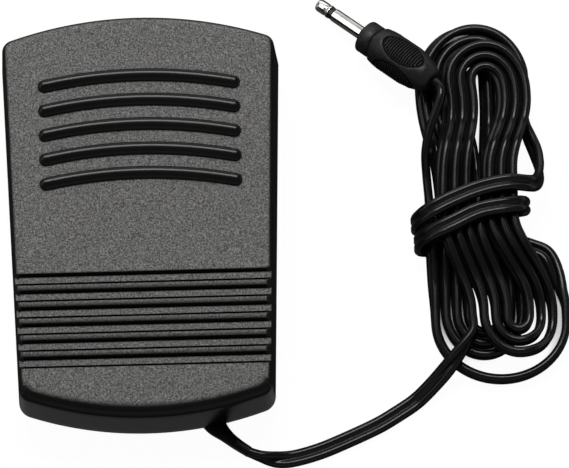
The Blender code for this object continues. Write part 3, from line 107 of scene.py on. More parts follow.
COLLAR_AT = (0.0581, 0.0515, 0.00537)
PLUG_YAW, PLUG_DIP = math.radians(140.0), math.radians(14.0)
PLUG_BODY, COLLAR_RADIUS, COLLAR_LENGTH = 0.0226, 0.0044, 0.0036
TAIL_RADIUS, JACK_RADIUS = 0.0026, 0.00175
CORD_X, GROMMET_Z, GROMMET_HALF_WIDTH, GROMMET_HALF_HEIGHT = 0.0164, 0.00295, 0.0032, 0.00145
GROMMET_BEND_Y = -0.0490
JACK_LENGTH, TIP_LENGTH, TIP_ROD_RADIUS = 0.0160, 0.0042, 0.00045

# ==================== the scene's own sizes and looks
LEAD_ROUTE = tuple((x, y, HANK_Z) for x, y in (
    (0.0193, -0.0525), (0.02065, -0.0536), (0.0230, -0.0552), (0.0257, -0.0568), (0.0307, -0.0585),
    (0.0358, -0.0586), (0.0432, -0.0568), (0.0511, -0.0537), (0.0587, -0.0503), (0.0639, -0.0473)))
# how the flex leans, between which Ys, and how far past a stretch's start or end it turns
LOW_LEAN, WAIST_LEAN, TOP_LEAN = math.radians(4), math.radians(24), math.radians(36)
WAIST_REACH, TOP_REACH = (-0.024, -0.012), (0.008, 0.018)
LIES_FLAT, STANDS_UP = (0.0102, 0.0172), (0.013, 0.029)
HANK_LEANS, HANK_RIGHTS = (0.010, 0.030), (-0.020, 0.0)
RETURN_LEANS, RETURN_RIGHTS = (0.0, 0.010), (-0.012, 0.0)
WRAP_TURNS, WRAP_TURNS_BACK = (0.004, 0.018), (-0.016, -0.002)
FLEX_SPACING, FLEX_CLEARANCE = 0.0006, 0.00004
GROMMET_BEND = ((0.0013, -0.0506, 0.00285, 0.00250, 0.00155, -62),
                (0.0029, -0.0519, 0.00260, 0.00185, 0.00190, -46),
                (0.0046, -0.0534, 0.00235, 0.00150, 0.00220, -37),
                (0.0068, -0.0551, 0.00227, 0.00134, 0.00232, -33),
                (0.0093, -0.0568, 0.00225, 0.00126, 0.00232, -30))
GRIP_FROM, GRIP_MIDDLE, GRIP_HALF_LENGTH, GRIP_PITCH = 0.0052, 0.0131, 0.0061, 0.00072
GRIP_FIRST_TURN, GRIP_HALF_TURN = math.radians(12), math.radians(38)
GRIP_OUTLINE, GRIP_OUTLINE_DEPTH, GRIP_DEPTH = 0.15, 0.00010, 0.00036
ROW_STEP, EVEN_ROWS_MARGIN, GRID_MARGIN = 0.00032, 0.0019, 0.0016
RIB_STATIONS, RIB_END_STEPS, RIB_SIDES, RIB_SUNK = 61, 10, 18, 0.0003
SHORT_STEPS, EDGE_STEPS = 200, 8
GRAIN_FROM_HEEL, GRAIN_FROM_SIDE, HEEL_CORNER = 0.0018, 0.0022, (0.0085 - HALF, 0.0125 - HALF)
# how far the painted shade of the grooves' flanks reaches past their mouth and floor, on the toe side and on
# the heel side
SHADE_PAST_MOUTH, SHADE_PAST_FLOOR = (0.00022, 0.00012), (-0.00012, 0.00002)
SIDE_FACING, DULL_FACING, TOE_FACING = 0.8, 0.985, -0.5
WORLD_LEVEL, FLOOR_SHADE, FLOOR_WHITE = 0.12, 0.34, 0.85
# the floor's glow: white; near the pedal in mirror images, painted shade; along the heel's arc, a painted
# reflection
GLOW, PAINTED_REFLECTED_SHADE, PAINTED_HEEL_REFLECTION = 1.14, 0.02, 0.15


# ==================== helpers
def smooth_step(t):
    t = max(0.0, min(1.0, t))
    return t * t * (3 - 2 * t)


def smooth_range(values, low, high):
    t = np.clip((values - low) / (high - low), 0.0, 1.0)
    return t * t * (3 - 2 * t)


def between(values, start, rise, end, fall):
    """Rises from 0 to 1 over the stretch rise past start, and falls back over the stretch fall past end."""
    risen = smooth_range(values, start + rise[0], start + rise[1])
    return risen * (1 - smooth_range(values, end + fall[0], end + fall[1]))


def from_table(table, y):
    if y <= table[0][0]:
        return table[0][1]
    for (y0, v0), (y1, v1) in zip(table, table[1:]):
        if y <= y1:
            return v0 + (v1 - v0) * smooth_step((y - y0) / (y1 - y0))
    return table[-1][1]


def dense_curve(points):
    pts = [Vector(p) for p in points]
    pts = [2 * pts[0] - pts[1]] + pts + [2 * pts[-1] - pts[-2]]
    dense = []
    for p0, p1, p2, p3 in zip(pts, pts[1:], pts[2:], pts[3:]):
        for k in range(CURVE_PIECES):
            t = k / CURVE_PIECES
            dense.append(0.5 * (2 * p1 + (p2 - p0) * t + (2 * p0 - 5 * p1 + 4 * p2 - p3) * t * t
                                + (3 * p1 - p0 - 3 * p2 + p3) * t * t * t))
    dense.append(pts[-2])
    return dense


def lengths_along(points):
    steps = np.linalg.norm(np.diff(points, axis=0), axis=1)
    return np.concatenate([[0.0], np.cumsum(steps)])


def even_steps(points, spacing):
    """The same line at an even spacing, as an array."""
    points = np.array([list(p) for p in points], float)
    along = lengths_along(points)
    count = max(3, int(round(along[-1] / spacing)) + 1)
    wanted = np.linspace(0, along[-1], count)
    return np.stack([np.interp(wanted, along, points[:, k]) for k in range(3)], axis=1)


def mesh_piece(name, vertices, faces, smooth=True):
    mesh = bpy.data.meshes.new(name)
    mesh.from_pydata([tuple(v) for v in vertices], [], faces)
    mesh.validate()
    mesh.update()
    if smooth:
        mesh.polygons.foreach_set("use_smooth", [True] * len(mesh.polygons))
    piece = bpy.data.objects.new(name, mesh)
    bpy.context.scene.collection.objects.link(piece)
    return piece


def point_values(piece, name, values):
    attribute = piece.data.attributes.new(name, "FLOAT", "POINT")
    attribute.data.foreach_set("value", np.asarray(values, np.float32))


def dress(piece, material, slot, body, *replaced):
    piece.data.materials.clear()
    piece.data.materials.append(material)
    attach(piece, body)
    if replaced:
        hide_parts(*replaced)
    return piece


def more_materials(piece, slots, *materials):
    """Adds materials after the piece's first one, and which of them each face has."""
    for material in materials:
        piece.data.materials.append(material)
    piece.data.polygons.foreach_set("material_index", slots)
    piece.data.update()


def strip_faces(start, other, count):
    """Quads between two closed rings of vertices, given by their first indices."""
    return [(start + k, start + (k + 1) % count, other + (k + 1) % count, other + k) for k in range(count)]


def loft_faces(rings, count):
    """Quads between rings of vertices that follow one another, each of count vertices."""
    return [face for k in range(rings - 1) for face in strip_faces(k * count, (k + 1) * count, count)]


def capped_faces(rings, count):
    """The same quads wound the other way, with a flat cap at either end."""
    faces = [(b, a, d, c) for a, b, c, d in loft_faces(rings, count)]
    end = (rings - 1) * count
    return faces + [tuple(range(count)), tuple(range(end + count - 1, end - 1, -1))]


def tube_mesh(name, points, sections):
    """Rings of vertices along a line, closed by a fan at either end."""
    count = len(sections[0])
    vertices = [v for ring in sections for v in ring]
    faces = loft_faces(len(sections), count)
    first, last = len(vertices), len(vertices) + 1
    vertices += [points[0], points[-1]]
    end = (len(sections) - 1) * count
    faces += [((k + 1) % count, k, first) for k in range(count)]
    faces += [(end + k, end + (k + 1) % count, last) for k in range(count)]
    return mesh_piece(name, vertices, faces)


# ==================== materials
def shader(name, color, roughness, metallic=0.0, specular=0.5):
    material = bpy.data.materials.new(name)
    material.use_nodes = True
    tree = material.node_tree
    surface = tree.nodes["Principled BSDF"]
    surface.inputs["Base Color"].default_value = (*color, 1.0)
    surface.inputs["Roughness"].default_value = roughness
    surface.inputs["Metallic"].default_value = metallic
    surface.inputs["Specular IOR Level"].default_value = specular
    return material, tree, surface


def add(tree, kind, **inputs):
    node = tree.nodes.new("ShaderNode" + kind)
    for key, value in inputs.items():
        node.inputs[key.replace("_", " ")].default_value = value
    return node


def noise(tree, scale, detail=2.0, roughness=0.5, stretch=(1, 1, 1)):
    place, mapping = add(tree, "TexCoord"), add(tree, "Mapping", Scale=stretch)
    texture = add(tree, "TexNoise", Scale=scale, Detail=detail, Roughness=roughness)
    tree.links.new(place.outputs["Object"], mapping.inputs["Vector"])
    tree.links.new(mapping.outputs["Vector"], texture.inputs["Vector"])
    return texture.outputs["Fac"]


def ramp(tree, factor, stops):
    node = add(tree, "ValToRGB")
    elements = node.color_ramp.elements
    while len(elements) < len(stops):
        elements.new(0.5)
    for element, (place, color) in zip(elements, stops):
        element.position = place
        element.color = (*color, 1.0)
    tree.links.new(factor, node.inputs["Fac"])
    return node.outputs["Color"]


def spread(tree, factor, low, high, from_low=0.3, from_high=0.7):
    node = add(tree, "MapRange", From_Min=from_low, From_Max=from_high, To_Min=low, To_Max=high)
    tree.links.new(factor, node.inputs["Value"])
    return node.outputs["Result"]


def bump(tree, surface, heights):
    """Bumps in turn, each (height output, strength, distance in metres)."""
    normal = None
    for height, strength, distance in heights:
        node = add(tree, "Bump", Distance=distance)
        if isinstance(strength, float):
            node.inputs["Strength"].default_value = strength
        else:
            tree.links.new(strength, node.inputs["Strength"])
        tree.links.new(height, node.inputs["Height"])
        if normal is not None:
            tree.links.new(normal, node.inputs["Normal"])
        normal = node.outputs["Normal"]
    tree.links.new(normal, surface.inputs["Normal"])


def paint(tree, surface, color, roughness=None):
    tree.links.new(color, surface.inputs["Base Color"])
    if roughness is not None:
        tree.links.new(roughness, surface.inputs["Roughness"])


def grey(value):
    return (value, value, value)


def two_tone(tree, texture, dark, light, low=0.3, high=0.7):
    return ramp(tree, texture, ((low, dark), (high, light)))


def joined(tree, operation, first, second):
    """A Math node on two outputs, or on an output and a number."""
    node = add(tree, "Math")
    node.operation = operation
    for socket, value in zip(node.inputs, (first, second)):
        if isinstance(value, float):
            socket.default_value = value
        else:
            tree.links.new(value, socket)
    return node.outputs["Value"]


def blended(tree, factor, first, second, kind="FLOAT"):
    """A Mix node: first where factor is 0, second where it is 1."""
    node = add(tree, "Mix")
    node.data_type = kind
    for key, value in (("Factor", factor), ("A", first), ("B", second)):
        tree.links.new(value, node.inputs[key])
    return node.outputs["Result"]


def moulded(name, shade, roughness, scale, depth):
    """Plain moulded plastic: a slight mottle in tone and gloss and a fine bump."""
    material, tree, surface = shader(name, grey(shade), roughness)
    fine, broad = noise(tree, scale, 3.0, 0.6), noise(tree, scale / 14, 2.0)
    color = two_tone(tree, fine, grey(shade * 0.75), grey(shade * 1.25), 0.32, 0.68)
    paint(tree, surface, color, spread(tree, broad, roughness * 0.85, roughness * 1.2))
    bump(tree, surface, [(fine, 0.5, depth)])
    return material


def bare_metal(name, color, roughness, stretch, scale=900.0, depth=0.000004):
    """Plated or drawn metal with fine marks along one direction."""
    material, tree, surface = shader(name, color, roughness, metallic=1.0)
    marks = noise(tree, scale, 3.0, 0.6, stretch)
    tarnish = noise(tree, 260.0, 2.0)
    dark = tuple(c * 0.82 for c in color)
    gloss = spread(tree, marks, roughness * 0.7, roughness * 1.4)
    paint(tree, surface, two_tone(tree, tarnish, dark, color, 0.35, 0.62), gloss)
    bump(tree, surface, [(marks, 0.4, depth)])
    return material


def cover_material():
    """Spark-eroded grain on the flat face; ribs, edges and walls are smoother and darker."""
    material, tree, surface = shader("cover_plastic", grey(0.07), 0.5, specular=0.22)
    grained = add(tree, "Attribute")
    grained.attribute_name = "grain"
    grain = grained.outputs["Fac"]
    fine, coarse = noise(tree, 4800.0, 2.0, 0.6), noise(tree, 2300.0, 1.0, 0.5)
    clouds = noise(tree, 26.0, 2.0, 0.5)
    pits = joined(tree, "ADD", fine, coarse)
    stops = ((0.0, (0.036, 0.0357, 0.0343)), (0.5, (0.139, 0.138, 0.133)), (1.0, (0.300, 0.297, 0.286)))
    rough_color = ramp(tree, spread(tree, pits, 0.0, 1.0, 0.72, 1.28), stops)
    plain_color = two_tone(tree, clouds, (0.0036, 0.0036, 0.0038), (0.0052, 0.0052, 0.0056))
    color = blended(tree, grain, plain_color, rough_color, "RGBA")
    gloss, matt = spread(tree, clouds, 0.18, 0.24), spread(tree, fine, 0.50, 0.68)
    paint(tree, surface, color, blended(tree, grain, gloss, matt))
    bump(tree, surface, [(pits, spread(tree, grain, 0.05, 0.85, 0.0, 1.0), 0.00010)])
    return material


def groove_shade_material():
    """Painted shade on the flanks of the grooves and a thin strip past their edges: near black, with no gloss.
    """
    material, tree, surface = shader("groove_painted_shade", grey(0.0025), 0.8, specular=0.0)
    fine = noise(tree, 2600.0, 2.0, 0.5)
    paint(tree, surface, two_tone(tree, fine, grey(0.0018), grey(0.0034)))
    bump(tree, surface, [(fine, 0.3, 0.00001)])
    return material


def side_material():
    """The cover's dull sides."""
    material, tree, surface = shader("cover_side_plastic", grey(0.0058), 0.6, specular=0.10)
    clouds, fine = noise(tree, 90.0, 2.0, 0.5), noise(tree, 2600.0, 2.0, 0.5)
    paint(tree, surface, two_tone(tree, clouds, grey(0.0050), grey(0.0068)), spread(tree, fine, 0.55, 0.70))
    bump(tree, surface, [(fine, 0.3, 0.00001)])
    return material


def speckled(name, shade, roughness, specular, depth=0.00004):
    """Soft moulded PVC with a fine speckle."""
    material, tree, surface = shader(name, grey(shade), roughness, specular=specular)
    fine, broad = noise(tree, 2300.0, 3.0, 0.65), noise(tree, 170.0, 2.0, 0.5)
    color = two_tone(tree, fine, grey(shade * 0.4), grey(shade * 2.1), 0.36, 0.66)
    paint(tree, surface, color, spread(tree, broad, roughness * 0.87, roughness * 1.17))
    bump(tree, surface, [(fine, 0.6, depth)])
    return material


def flex_material():
    """Shiny soft PVC: nearly black, with faint long waves and the odd dull patch."""
    material, tree, surface = shader("flex_pvc", grey(0.0058), 0.20, specular=0.25)
    wave, fine = noise(tree, 130.0, 2.0, 0.5), noise(tree, 1500.0, 2.0, 0.5)
    paint(tree, surface, two_tone(tree, wave, grey(0.0048), grey(0.0068)), spread(tree, wave, 0.17, 0.26))
    bump(tree, surface, [(wave, 0.20, 0.00010), (fine, 0.25, 0.00001)])
    return material


# ==================== camera and light
def placed(name, data, side, up, back, place):
    """An object at place, with its axes along side, up and back."""
    thing = bpy.data.objects.new(name, data)
    thing.matrix_world = Matrix.Translation(place) @ Matrix((side, up, back)).transposed().to_4x4()
    bpy.context.scene.collection.objects.link(thing)
    return thing


def camera():
    eye = Vector((0.0359057, -0.3621574, 1.4554436))
    tilt, roll = math.radians(76.0), math.radians(1.5)
    back = Vector((0, -math.cos(tilt), math.sin(tilt)))
    level, above = Vector((1, 0, 0)), Vector((0, math.sin(tilt), math.cos(tilt)))
    right = level * math.cos(roll) - above * math.sin(roll)
    up = level * math.sin(roll) + above * math.cos(roll)
    data = bpy.data.cameras.new("camera")
    data.sensor_width, data.lens = 36.0, 369.56
    data.clip_start, data.clip_end = 0.05, 20.0
    bpy.context.scene.camera = placed("camera", data, right, up, back, eye)


def panel(name, place, aim, size, watts, along=(1, 0, 0)):
    """A lamp at place, turned to aim, with its first side as near to along as can be."""
    data = bpy.data.lights.new(name, "AREA")
    data.shape = "RECTANGLE"
    data.size, data.size_y = size
    data.energy = watts
    back = (Vector(place) - Vector(aim)).normalized()
    up = back.cross(Vector(along)).normalized()
    placed(name, data, up.cross(back), up, back, Vector(place)).visible_camera = False


def lights():
    middle = (0.03, 0.0, 0.0)
    panel("softbox", (0.0, 0.50, 0.98), middle, (0.58, 0.28), 7.0)
    jack = (0.05, 0.058, 0.005)
    panel("jack_card", (-0.506, 0.384, 0.835), jack, (1.20, 0.30), 1.9, along=(0.65, 0.76, 0))
    panel("toe_panel", (0.03, 1.25, 0.55), middle, (1.3, 0.5), 3.0)
    panel("left_fill", (-1.05, -0.25, 0.75), middle, (1.0, 0.7), 0.6, along=(0, 1, 0))
    panel("heel_fill", (0.25, -1.10, 0.60), middle, (1.6, 0.9), 1.0)


def seen_plainly(tree, ray):
    """1 for rays from the camera and through clear things."""
    return joined(tree, "MAXIMUM", ray.outputs["Is Camera Ray"], ray.outputs["Is Transmission Ray"])


def world():
    """White to the camera and, low beyond the toe, in mirror images; otherwise dim."""
    setting = bpy.data.worlds.new("studio")
    bpy.context.scene.world = setting
    setting.use_nodes = True
    tree = setting.node_tree
    background = tree.nodes["Background"]
    background.inputs["Color"].default_value = (1, 1, 1, 1)
    ray = add(tree, "LightPath")
    place = add(tree, "TexCoord")
    split = add(tree, "SeparateXYZ")
    tree.links.new(place.outputs["Generated"], split.inputs["Vector"])
    low = spread(tree, split.outputs["Z"], 1.0, WORLD_LEVEL, 0.02, 0.40)
    beyond_toe = spread(tree, split.outputs["Y"], WORLD_LEVEL, 1.0, -0.50, 0.05)
    horizon = joined(tree, "MINIMUM", low, beyond_toe)
    mirrored = joined(tree, "MULTIPLY", ray.outputs["Is Glossy Ray"], horizon)
    bright = joined(tree, "MAXIMUM", seen_plainly(tree, ray), mirrored)
    tree.links.new(joined(tree, "MAXIMUM", bright, WORLD_LEVEL), background.inputs["Strength"])


def floor_glow(tree, ray, seen):
    """How brightly the floor shows: white to the camera; in mirror images white only far off, dim near the
    pedal as painted shade, and faint along the heel's arc as a painted reflection in the heel wall."""
    place = add(tree, "NewGeometry")
    split = add(tree, "SeparateXYZ")
    tree.links.new(place.outputs["Position"], split.inputs["Vector"])
    from_arc = add(tree, "VectorMath")
    from_arc.operation = "DISTANCE"
    from_arc.inputs[1].default_value = (0, HEEL_ARC_RADIUS - HALF, 0)
    tree.links.new(place.outputs["Position"], from_arc.inputs[0])
    # in mirror images the floor stays dim unless far off and well beyond the heel: painted shade round the
    # pedal
    far_off = spread(tree, ray.outputs["Ray Length"], PAINTED_REFLECTED_SHADE, GLOW, 0.06, 0.30)
    beyond_heel = spread(tree, split.outputs["Y"], PAINTED_REFLECTED_SHADE, GLOW, -0.24, -0.08)
    distant = joined(tree, "MINIMUM", far_off, beyond_heel)
    # a faint strip along the heel's arc, seen only in mirror images: a painted reflection in the heel wall
    near_arc = spread(tree, from_arc.outputs["Value"], PAINTED_HEEL_REFLECTION, PAINTED_REFLECTED_SHADE,
                      HEEL_ARC_RADIUS + 0.0050, HEEL_ARC_RADIUS + 0.0200)
    before = spread(tree, split.outputs["Y"], PAINTED_HEEL_REFLECTION, PAINTED_REFLECTED_SHADE, -0.044, -0.040)
    mirrored = joined(tree, "MAXIMUM", distant, joined(tree, "MINIMUM", near_arc, before))
    return joined(tree, "MAXIMUM", mirrored, joined(tree, "MULTIPLY", seen, GLOW))


def floor():
    """A pale floor that looks white to the camera, and keeps a soft shadow under what stands on it."""
    material, tree, surface = shader("floor", grey(FLOOR_SHADE), 0.9, specular=0.1)
    mottle = two_tone(tree, noise(tree, 3.0, 2.0), grey(FLOOR_SHADE - 0.01), grey(FLOOR_SHADE + 0.01))
    paint(tree, surface, mottle)
    ray = add(tree, "LightPath")
    seen = seen_plainly(tree, ray)
    glow = add(tree, "Emission")
    tree.links.new(floor_glow(tree, ray, seen), glow.inputs["Strength"])
    open_floor = add(tree, "AmbientOcclusion", Distance=0.006)
    open_floor.samples = 12
    openness = spread(tree, open_floor.outputs["AO"], 0.0, FLOOR_WHITE, 0.08, 0.28)
    mirrored = joined(tree, "MULTIPLY", ray.outputs["Is Glossy Ray"], FLOOR_WHITE)
    mix = add(tree, "MixShader")
    out = tree.nodes["Material Output"]
    share = joined(tree, "MAXIMUM", joined(tree, "MULTIPLY", seen, openness), mirrored)
    for socket, output in enumerate((share, surface.outputs["BSDF"], glow.outputs["Emission"])):
        tree.links.new(output, mix.inputs[socket])
    tree.links.new(mix.outputs["Shader"], out.inputs["Surface"])
    corners = [(x * 3.0, y * 3.0, 0) for x, y in ((-1, -1), (1, -1), (1, 1), (-1, 1))]
    plane = mesh_piece("floor", corners, [(0, 1, 2, 3)], smooth=False)
    plane.data.materials.append(material)


# ==================== flat flex
def loop_place(turn, layer):
    """Where a layer's flex is at a turn, counted in half loops, as seen from above."""
    size = 0.25 + abs(turn - HANK_TURNS) / 2
    number = math.floor(turn)
    up = turn - number if number % 2 == 0 else 1 - (turn - number)
    side = -1 if number % 2 == 0 else 1
    sweep = 2 * up - 1
    end = layer["top"] if sweep > 0 else layer["bottom"]
    reach = abs(end - HANK_MIDDLE_Y) - (layer["outermost"] - size) * LOOP_STEP
    cap = layer["cap"] * (size + END_FLARE) * from_table(layer["step"], end)
    leg = reach - cap
    leg_share = leg / (leg + CAP_SHARE * cap)
    if abs(sweep) < leg_share:
        offset, narrowing = leg * abs(sweep) / leg_share, 1.0
    else:
        angle = (abs(sweep) - leg_share) / (1 - leg_share) * math.pi / 2
        offset, narrowing = leg + cap * math.sin(angle), math.cos(angle)
    y = HANK_MIDDLE_Y + math.copysign(offset, sweep)
    flare = END_FLARE * smooth_step((abs(y - HANK_MIDDLE_Y) - 0.006) / 0.020)
    x = from_table(layer["middle"], y)
    return x + from_table(layer["step"], y) * (0.25 + (size + flare) * side * narrowing), y


def waist_lift(y):
    return WAIST_LIFT * smooth_step((0.028 - y) / 0.008) * smooth_step((y + 0.014) / 0.009)


def hank_place(turn):
    """The hank's middle line: the upper layer's loops first, then the lower's, and last the outer one."""
    if turn < 6:
        (x, y), down = loop_place(turn, UPPER), 0.0
    elif turn > 7:
        (x, y), down = loop_place(turn, OUTER if turn > 13.6 else LOWER), 1.0
    else:
        high, low = Vector(loop_place(turn, UPPER)), Vector(loop_place(turn, LOWER))
        x, y = high.lerp(low, smooth_step((turn - 6.25) / 0.5))
        down = smooth_step(y / 0.016)
    slump = smooth_step((x - 0.0965) / 0.008) * smooth_step((-0.008 - y) / 0.010)
    upper_z = HANK_Z + LAYER_STEP * (1 - slump) + waist_lift(y)
    lower_z = HANK_Z + waist_lift(y)
    return Vector((x, y, upper_z + (lower_z - upper_z) * down))


def hank_points(start, end, points=24):
    count = round((end - start) * points / 2)
    return [hank_place(start + (end - start) * k / count) for k in range(count + 1)]


def plug_axis():
    return Vector((math.cos(PLUG_YAW) * math.cos(PLUG_DIP), math.sin(PLUG_YAW) * math.cos(PLUG_DIP),
                   -math.sin(PLUG_DIP)))


def flex_section():
    """Two cores side by side, joined by a thin web: (across, thick) in metres, anticlockwise."""
    core = CORD_THICKNESS / 2
    opening = math.radians(156)
    steps = 12
    lobe = [(-opening + 2 * opening * k / steps) for k in range(steps + 1)]
    right = [(core + core * math.cos(a), core * math.sin(a)) for a in lobe]
    left = [(-x, -y) for x, y in right]
    return right + left


def flex_stretches():
    """The points of each stretch: the lead, the way up to the hank, its loops, the wrap, the way back and the
    hook to the plug."""
    loops = hank_points(HANK_START, HANK_END, 96)
    coarse = hank_points(HANK_START, HANK_END)
    approach = dense_curve([*HANK_APPROACH, coarse[0], coarse[1]])[:-CURVE_PIECES]
    back = hank_points(RETURN_START, RETURN_END, 96)
    straight = Vector((0, CORD_THICKNESS, 0))
    first = loops[-1] - Vector((0, WRAP_START_GAP, 0))
    last = back[0] + Vector((0, WRAP_END_GAP, 0))
    wrap = [first, *dense_curve([first - straight, *WRAP_ROUTE, last + straight]), last]
    axis = plug_axis()
    tail = Vector(COLLAR_AT) - axis * (PLUG_BODY + TAIL_GAP)
    hook = dense_curve([back[-1], *RETURN_HOOK, tail - axis * TAIL_STRAIGHT, tail])
    return dense_curve(LEAD_ROUTE), approach[:-1], loops, wrap, back[:-1], hook


def unit_rows(rows):
    return rows / np.maximum(np.linalg.norm(rows, axis=1), 1e-12)[:, None]


def smoothed(rows, half_window):
    """A running mean of each column, with the ends held."""
    padded = np.pad(rows, ((half_window, half_window), (0, 0)), mode="edge")
    kernel = np.ones(2 * half_window + 1) / (2 * half_window + 1)
    return np.stack([np.convolve(padded[:, k], kernel, mode="valid") for k in range(rows.shape[1])], axis=1)


def square_to(width, tangent):
    """The width's directions, made square to the line and of length one."""
    return unit_rows(width - tangent * np.sum(width * tangent, axis=1)[:, None])


def flex_width(line, along, tangent, marks):
    """Which way the flex's wide side points: up at the sleeve, level on the lead, leaning in the hank, and
    along Y round the waist."""
    lead_end, hank_from, hank_to, wrap_to, back_to = marks[1:6]
    level = unit_rows(np.stack([-tangent[:, 1], tangent[:, 0], np.zeros(len(line))], axis=1))
    flat = between(along, 0.0, LIES_FLAT, lead_end, STANDS_UP)[:, None] * math.pi / 2
    width = np.array([0.0, 0.0, 1.0]) * np.cos(flat) + level * np.sin(flat)
    in_hank = between(along, hank_from, HANK_LEANS, hank_to, HANK_RIGHTS)
    in_return = between(along, wrap_to, RETURN_LEANS, back_to, RETURN_RIGHTS)
    at_waist, at_top = smooth_range(line[:, 1], *WAIST_REACH), smooth_range(line[:, 1], *TOP_REACH)
    lean = LOW_LEAN + (WAIST_LEAN - LOW_LEAN) * at_waist + (TOP_LEAN - WAIST_LEAN) * at_top
    lean = lean * (in_hank + in_return)
    leaning = np.stack([np.sin(lean), np.zeros(len(line)), np.cos(lean)], axis=1)
    width = np.where((lean > 0)[:, None], leaning, width)
    on_wrap = between(along, hank_to, WRAP_TURNS, wrap_to, WRAP_TURNS_BACK)[:, None]
    width = square_to(width * (1 - on_wrap) + np.array([0.0, 1.0, 0.0]) * on_wrap, tangent)
    for k in range(1, len(width)):
        if np.dot(width[k], width[k - 1]) < 0:
            width[k] = -width[k]
    return square_to(smoothed(width, 6), tangent)


def flat_flex(material):
    """The whole flex as one mesh, and its middle line."""
    spans = flex_stretches()
    marks = np.cumsum([0.0] + [lengths_along(np.array([list(p) for p in s]))[-1] for s in spans])
    line = even_steps([p for s in spans for p in s], FLEX_SPACING)
    line[1:-1] = smoothed(line, 2)[1:-1]
    along = lengths_along(line)
    marks = marks * along[-1] / marks[-1]
    tangent = unit_rows(np.gradient(line, axis=0))
    width = flex_width(line, along, tangent, marks)
    lying = (along < marks[2]).astype(float) * (CORD_WIDTH - CORD_THICKNESS) / 2
    line[:, 2] -= lying * (1 - np.abs(width[:, 2]))
    half_height = CORD_THICKNESS / 2 * (1 + np.abs(width[:, 2]))
    line[:, 2] = np.maximum(line[:, 2], half_height + FLEX_CLEARANCE)
    thick = np.cross(tangent, width)
    section = flex_section()
    rings = [[tuple(p + w * a + t * b) for a, b in section] for p, w, t in zip(line, width, thick)]
    flex = tube_mesh("flat_flex", [tuple(p) for p in line], rings)
    dress(flex, material, "flex", "base", "cord_lead", "cord_hank", "cord_wrap", "cord_return")
    return flex, line


# ==================== treadle cover
def sloped(heel, toe, y):
    return heel + (toe - heel) * (y + HALF) / LENGTH


def top_z(y):
    return sloped(HEEL_HEIGHT, TOE_HEIGHT, y)


def skirt_z(y):
    return sloped(SKIRT_LIFT_HEEL, SKIRT_LIFT_TOE, y)


def plan_arc(centre, radius, start, end, steps):
    turns = np.linspace(start, end, steps + 1)
    return np.stack([centre[0] + radius * np.cos(turns), centre[1] + radius * np.sin(turns)], axis=1)


def line_meets(base, direction, centre, reach, sign):
    offset = base - centre
    b = offset @ direction
    return base + direction * (-b + sign * math.sqrt(b * b - offset @ offset + reach * reach))


def half_outline():
    """The right half of the plan outline, from the middle of the heel to the middle of the toe, and where
    the middles of its two corners lie along it."""
    heel, toe = np.array([0, -HALF + HEEL_ARC_RADIUS]), np.array([0, HALF - TOE_ARC_RADIUS])
    side = np.array([(TOE_WIDTH - HEEL_WIDTH) / 2, LENGTH])
    side = side / np.linalg.norm(side)
    inward = np.array([-side[1], side[0]])
    corner = CORNER_RADIUS
    base = np.array([HEEL_WIDTH / 2, -HALF]) + inward * corner
    low = line_meets(base, side, heel, HEEL_ARC_RADIUS - corner, -1)
    high = line_meets(base, side, toe, TOE_ARC_RADIUS - corner, 1)
    out_angle = math.atan2(-inward[1], -inward[0])
    low_angle = math.atan2(low[1] - heel[1], low[0])
    high_angle = math.atan2(high[1] - toe[1], high[0])
    parts = [plan_arc(heel, HEEL_ARC_RADIUS, -math.pi / 2, low_angle, 60),
             plan_arc(low, corner, low_angle, out_angle, 40)[1:],
             plan_arc(high, corner, out_angle, high_angle, 40),
             plan_arc(toe, TOE_ARC_RADIUS, high_angle, math.pi / 2, 60)[1:]]
    run = [lengths_along(np.concatenate(parts[:k + 1]))[-1] for k in range(4)]
    straight_end = run[2] - corner * (high_angle - out_angle)
    low_middle = (run[0] + run[1]) / 2
    high_middle = (straight_end + run[2]) / 2
    return np.concatenate(parts), low_middle, high_middle


def outline_points(short_count, side_ys):
    """The outline anticlockwise from the heel's left corner, and how many steps a side has. Both sides have
    their points at the same side_ys, so that the face can be a grid."""
    half, low, high = half_outline()
    along = lengths_along(half)

    def at(distance):
        return np.stack([np.interp(distance, along, half[:, k]) for k in range(2)], axis=-1)

    low_y, high_y = at(low)[1], at(high)[1]
    inner = side_ys[(side_ys > low_y + 0.0002) & (side_ys < high_y - 0.0002)]
    on_side = (along > low) & (along < high)
    side_at = np.interp(inner, half[on_side, 1], along[on_side])
    heel_half = at(np.linspace(0, low, short_count // 2 + 1))
    toe_half = at(np.linspace(along[-1], high, short_count // 2 + 1))
    right = at(np.concatenate([[low], side_at, [high]]))
    mirror = np.array([-1, 1])
    heel = np.concatenate([heel_half[::-1] * mirror, heel_half[1:]])
    toe = np.concatenate([toe_half[::-1], toe_half[1:] * mirror])
    left = (right * mirror)[::-1]
    return np.concatenate([heel[:-1], right[:-1], toe[:-1], left[:-1]]), len(right) - 1


